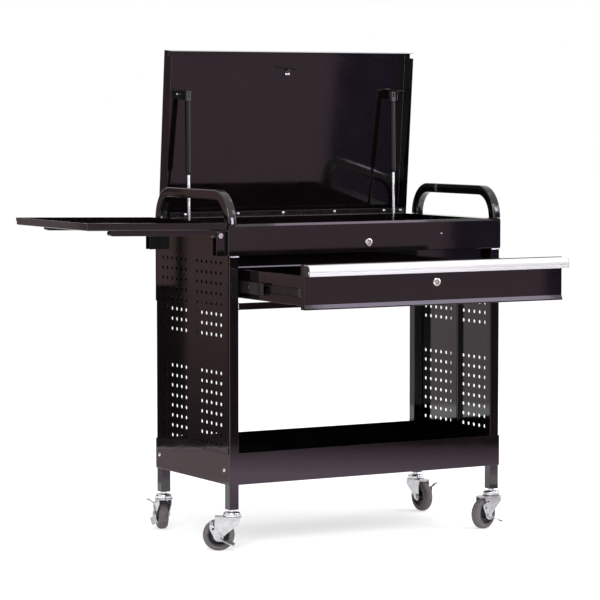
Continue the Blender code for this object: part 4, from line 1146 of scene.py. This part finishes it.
def studio_card(name, away, across, height, low_tone, high_tone=None, strength=1.0, blend=WALL_BLEND):
    """A card square to the camera's heading, so far ahead of the cart, or behind it where away is below 0.

    It stands between two places across that heading and two heights."""
    facing = Vector((math.sin(HEADING), -math.cos(HEADING), 0))
    sideways = Vector((math.cos(HEADING), math.sin(HEADING), 0))
    middle = CENTRE + facing * away + sideways * (across[0] + across[1]) / 2
    middle.z = (height[0] + height[1]) / 2
    size = (across[1] - across[0], height[1] - height[0])
    paint = card_paint(name, low_tone, high_tone or low_tone, strength, blend)
    mirror_card(name, middle, (math.radians(90), 0, HEADING), size, paint)


def make_front_cards():
    """What the faces towards the camera mirror: a warm wall and a dark door, low boards, and four lights."""
    studio_card("warm_wall", 3.7, (-2.6, 0.295), (0, 1.4), "#b99eab", "#bda2af")
    studio_card("dark_door", 3.7, (0.295, 1.7), (0, 1.4), "#5a4f6c")
    studio_card("low_flag", 1.5, (-0.7, 0.6), (0.055, 0.50), "#4c4044")
    studio_card("left_leg_card", 0.62, (-1.0, -0.08), (0, 0.093), "#cdb5d1", "#ffe0f8", 1.48, 0.093)
    studio_card("right_leg_card", 0.62, (-0.08, 1.0), (0, 0.07), "#cfcccf")
    studio_card("front_skirting", 1.3, (-1.2, 1.2), (0, 0.088), "#ffe0f8", "#806976", 1.48, 0.088)
    studio_card("bead_light", 2.98, (-0.08, 0.66), (2.15, 2.95), "#f2e6ff", None, 4.5)
    studio_card("left_foot_light", 1.20, (-0.52, -0.37), (0.79, 1.13), "#f4ebff", None, 14.0)
    studio_card("right_foot_light", 1.20, (0.24, 0.40), (1.04, 1.24), "#f4ebff", None, 11.0)
    paint = card_paint("chest_edge_light", "#f0dcf0", "#f0dcf0", 3.2, WALL_BLEND)
    mirror_card("chest_edge_light", CENTRE + Vector((1.285, -0.32, 3.0)), (0, 0, 0), (0.59, 0.6), paint)


def make_rear_cards():
    """What the left-hand faces mirror: brown and dark walls, a pale one to the right, and a low board."""
    studio_card("brown_wall", -2.00, (-1.7, 0.02), (0, 1.4), "#473c40", "#967d7a")
    studio_card("upper_wall", -1.97, (-0.225, 0.02), (0.79, 1.4), "#6a5659")
    studio_card("shelf_wall", -1.97, (-0.585, -0.385), (0.60, 0.76), "#b8a6a6")
    studio_card("dark_wall", -1.98, (-0.24, 0.02), (0.03, 0.50), "#242322")
    studio_card("dark_column", -1.98, (-0.24, -0.212), (0.45, 0.72), "#242322")
    studio_card("pale_wall", -2.00, (0.02, 1.4), (0.05, 1.4), "#cfc4c7")
    studio_card("rear_skirting", -1.2, (-1.7, 1.4), (0, 0.097), "#d3bdc2")


def softbox(name, place, aim, size, power, mirrored=True):
    """A square lamp at one place that looks at another."""
    deselect()
    bpy.ops.object.light_add(type="AREA", location=CENTRE + Vector(place))
    lamp = bpy.context.object
    lamp.name = name
    lamp.data.shape = "RECTANGLE"
    lamp.data.size, lamp.data.size_y = size
    lamp.data.energy = power
    lamp.visible_glossy = mirrored
    look = CENTRE + Vector(aim) - lamp.location
    lamp.rotation_euler = look.to_track_quat("-Z", "Y").to_euler()


def make_lights():
    softbox("key_left", (-2.2, -2.6, 2.6), (0, 0, 0.6), (1.6, 1.6), 60)
    softbox("fill_right", (3.0, -2.0, 1.6), (0, 0, 0.6), (1.4, 2.0), 25)
    softbox("top", (1.2, -0.8, 3.3), (0, -0.2, 0.6), (3.0, 2.4), 55, False)


def make_camera():
    deselect()
    bpy.ops.object.camera_add(location=CENTRE + CAMERA_PLACE)
    camera = bpy.context.object
    camera.data.sensor_width = SENSOR
    camera.data.lens = LENS
    camera.rotation_euler = (math.radians(90) - CAMERA_DIP, 0, -HEADING)
    bpy.context.scene.camera = camera


make_tray()
make_chest_front()
for side_name, side_sign in SIDES.items():
    make_panel(side_sign, side_name)
make_handles()
make_pull()
make_pull_caps()
lock_pieces("chest_lock", (0, -HALF_D, 0.7180), "frame", 0.0215)
lock_pieces("drawer_lock", (0, FACE_Y, 0.6400), "drawer", 0.0120)
make_lid()
make_hinge()
make_striker()
for side_name, side_sign in SIDES.items():
    make_strut(side_sign, side_name)
make_shelf()
make_drawer_front()
make_casters()
make_slide_details()
make_chest_trim()
make_fasteners()
keep_solids()
make_floor()
make_world()
make_front_cards()
make_rear_cards()
make_lights()
make_camera()
bpy.context.scene.view_settings.view_transform = "Standard"
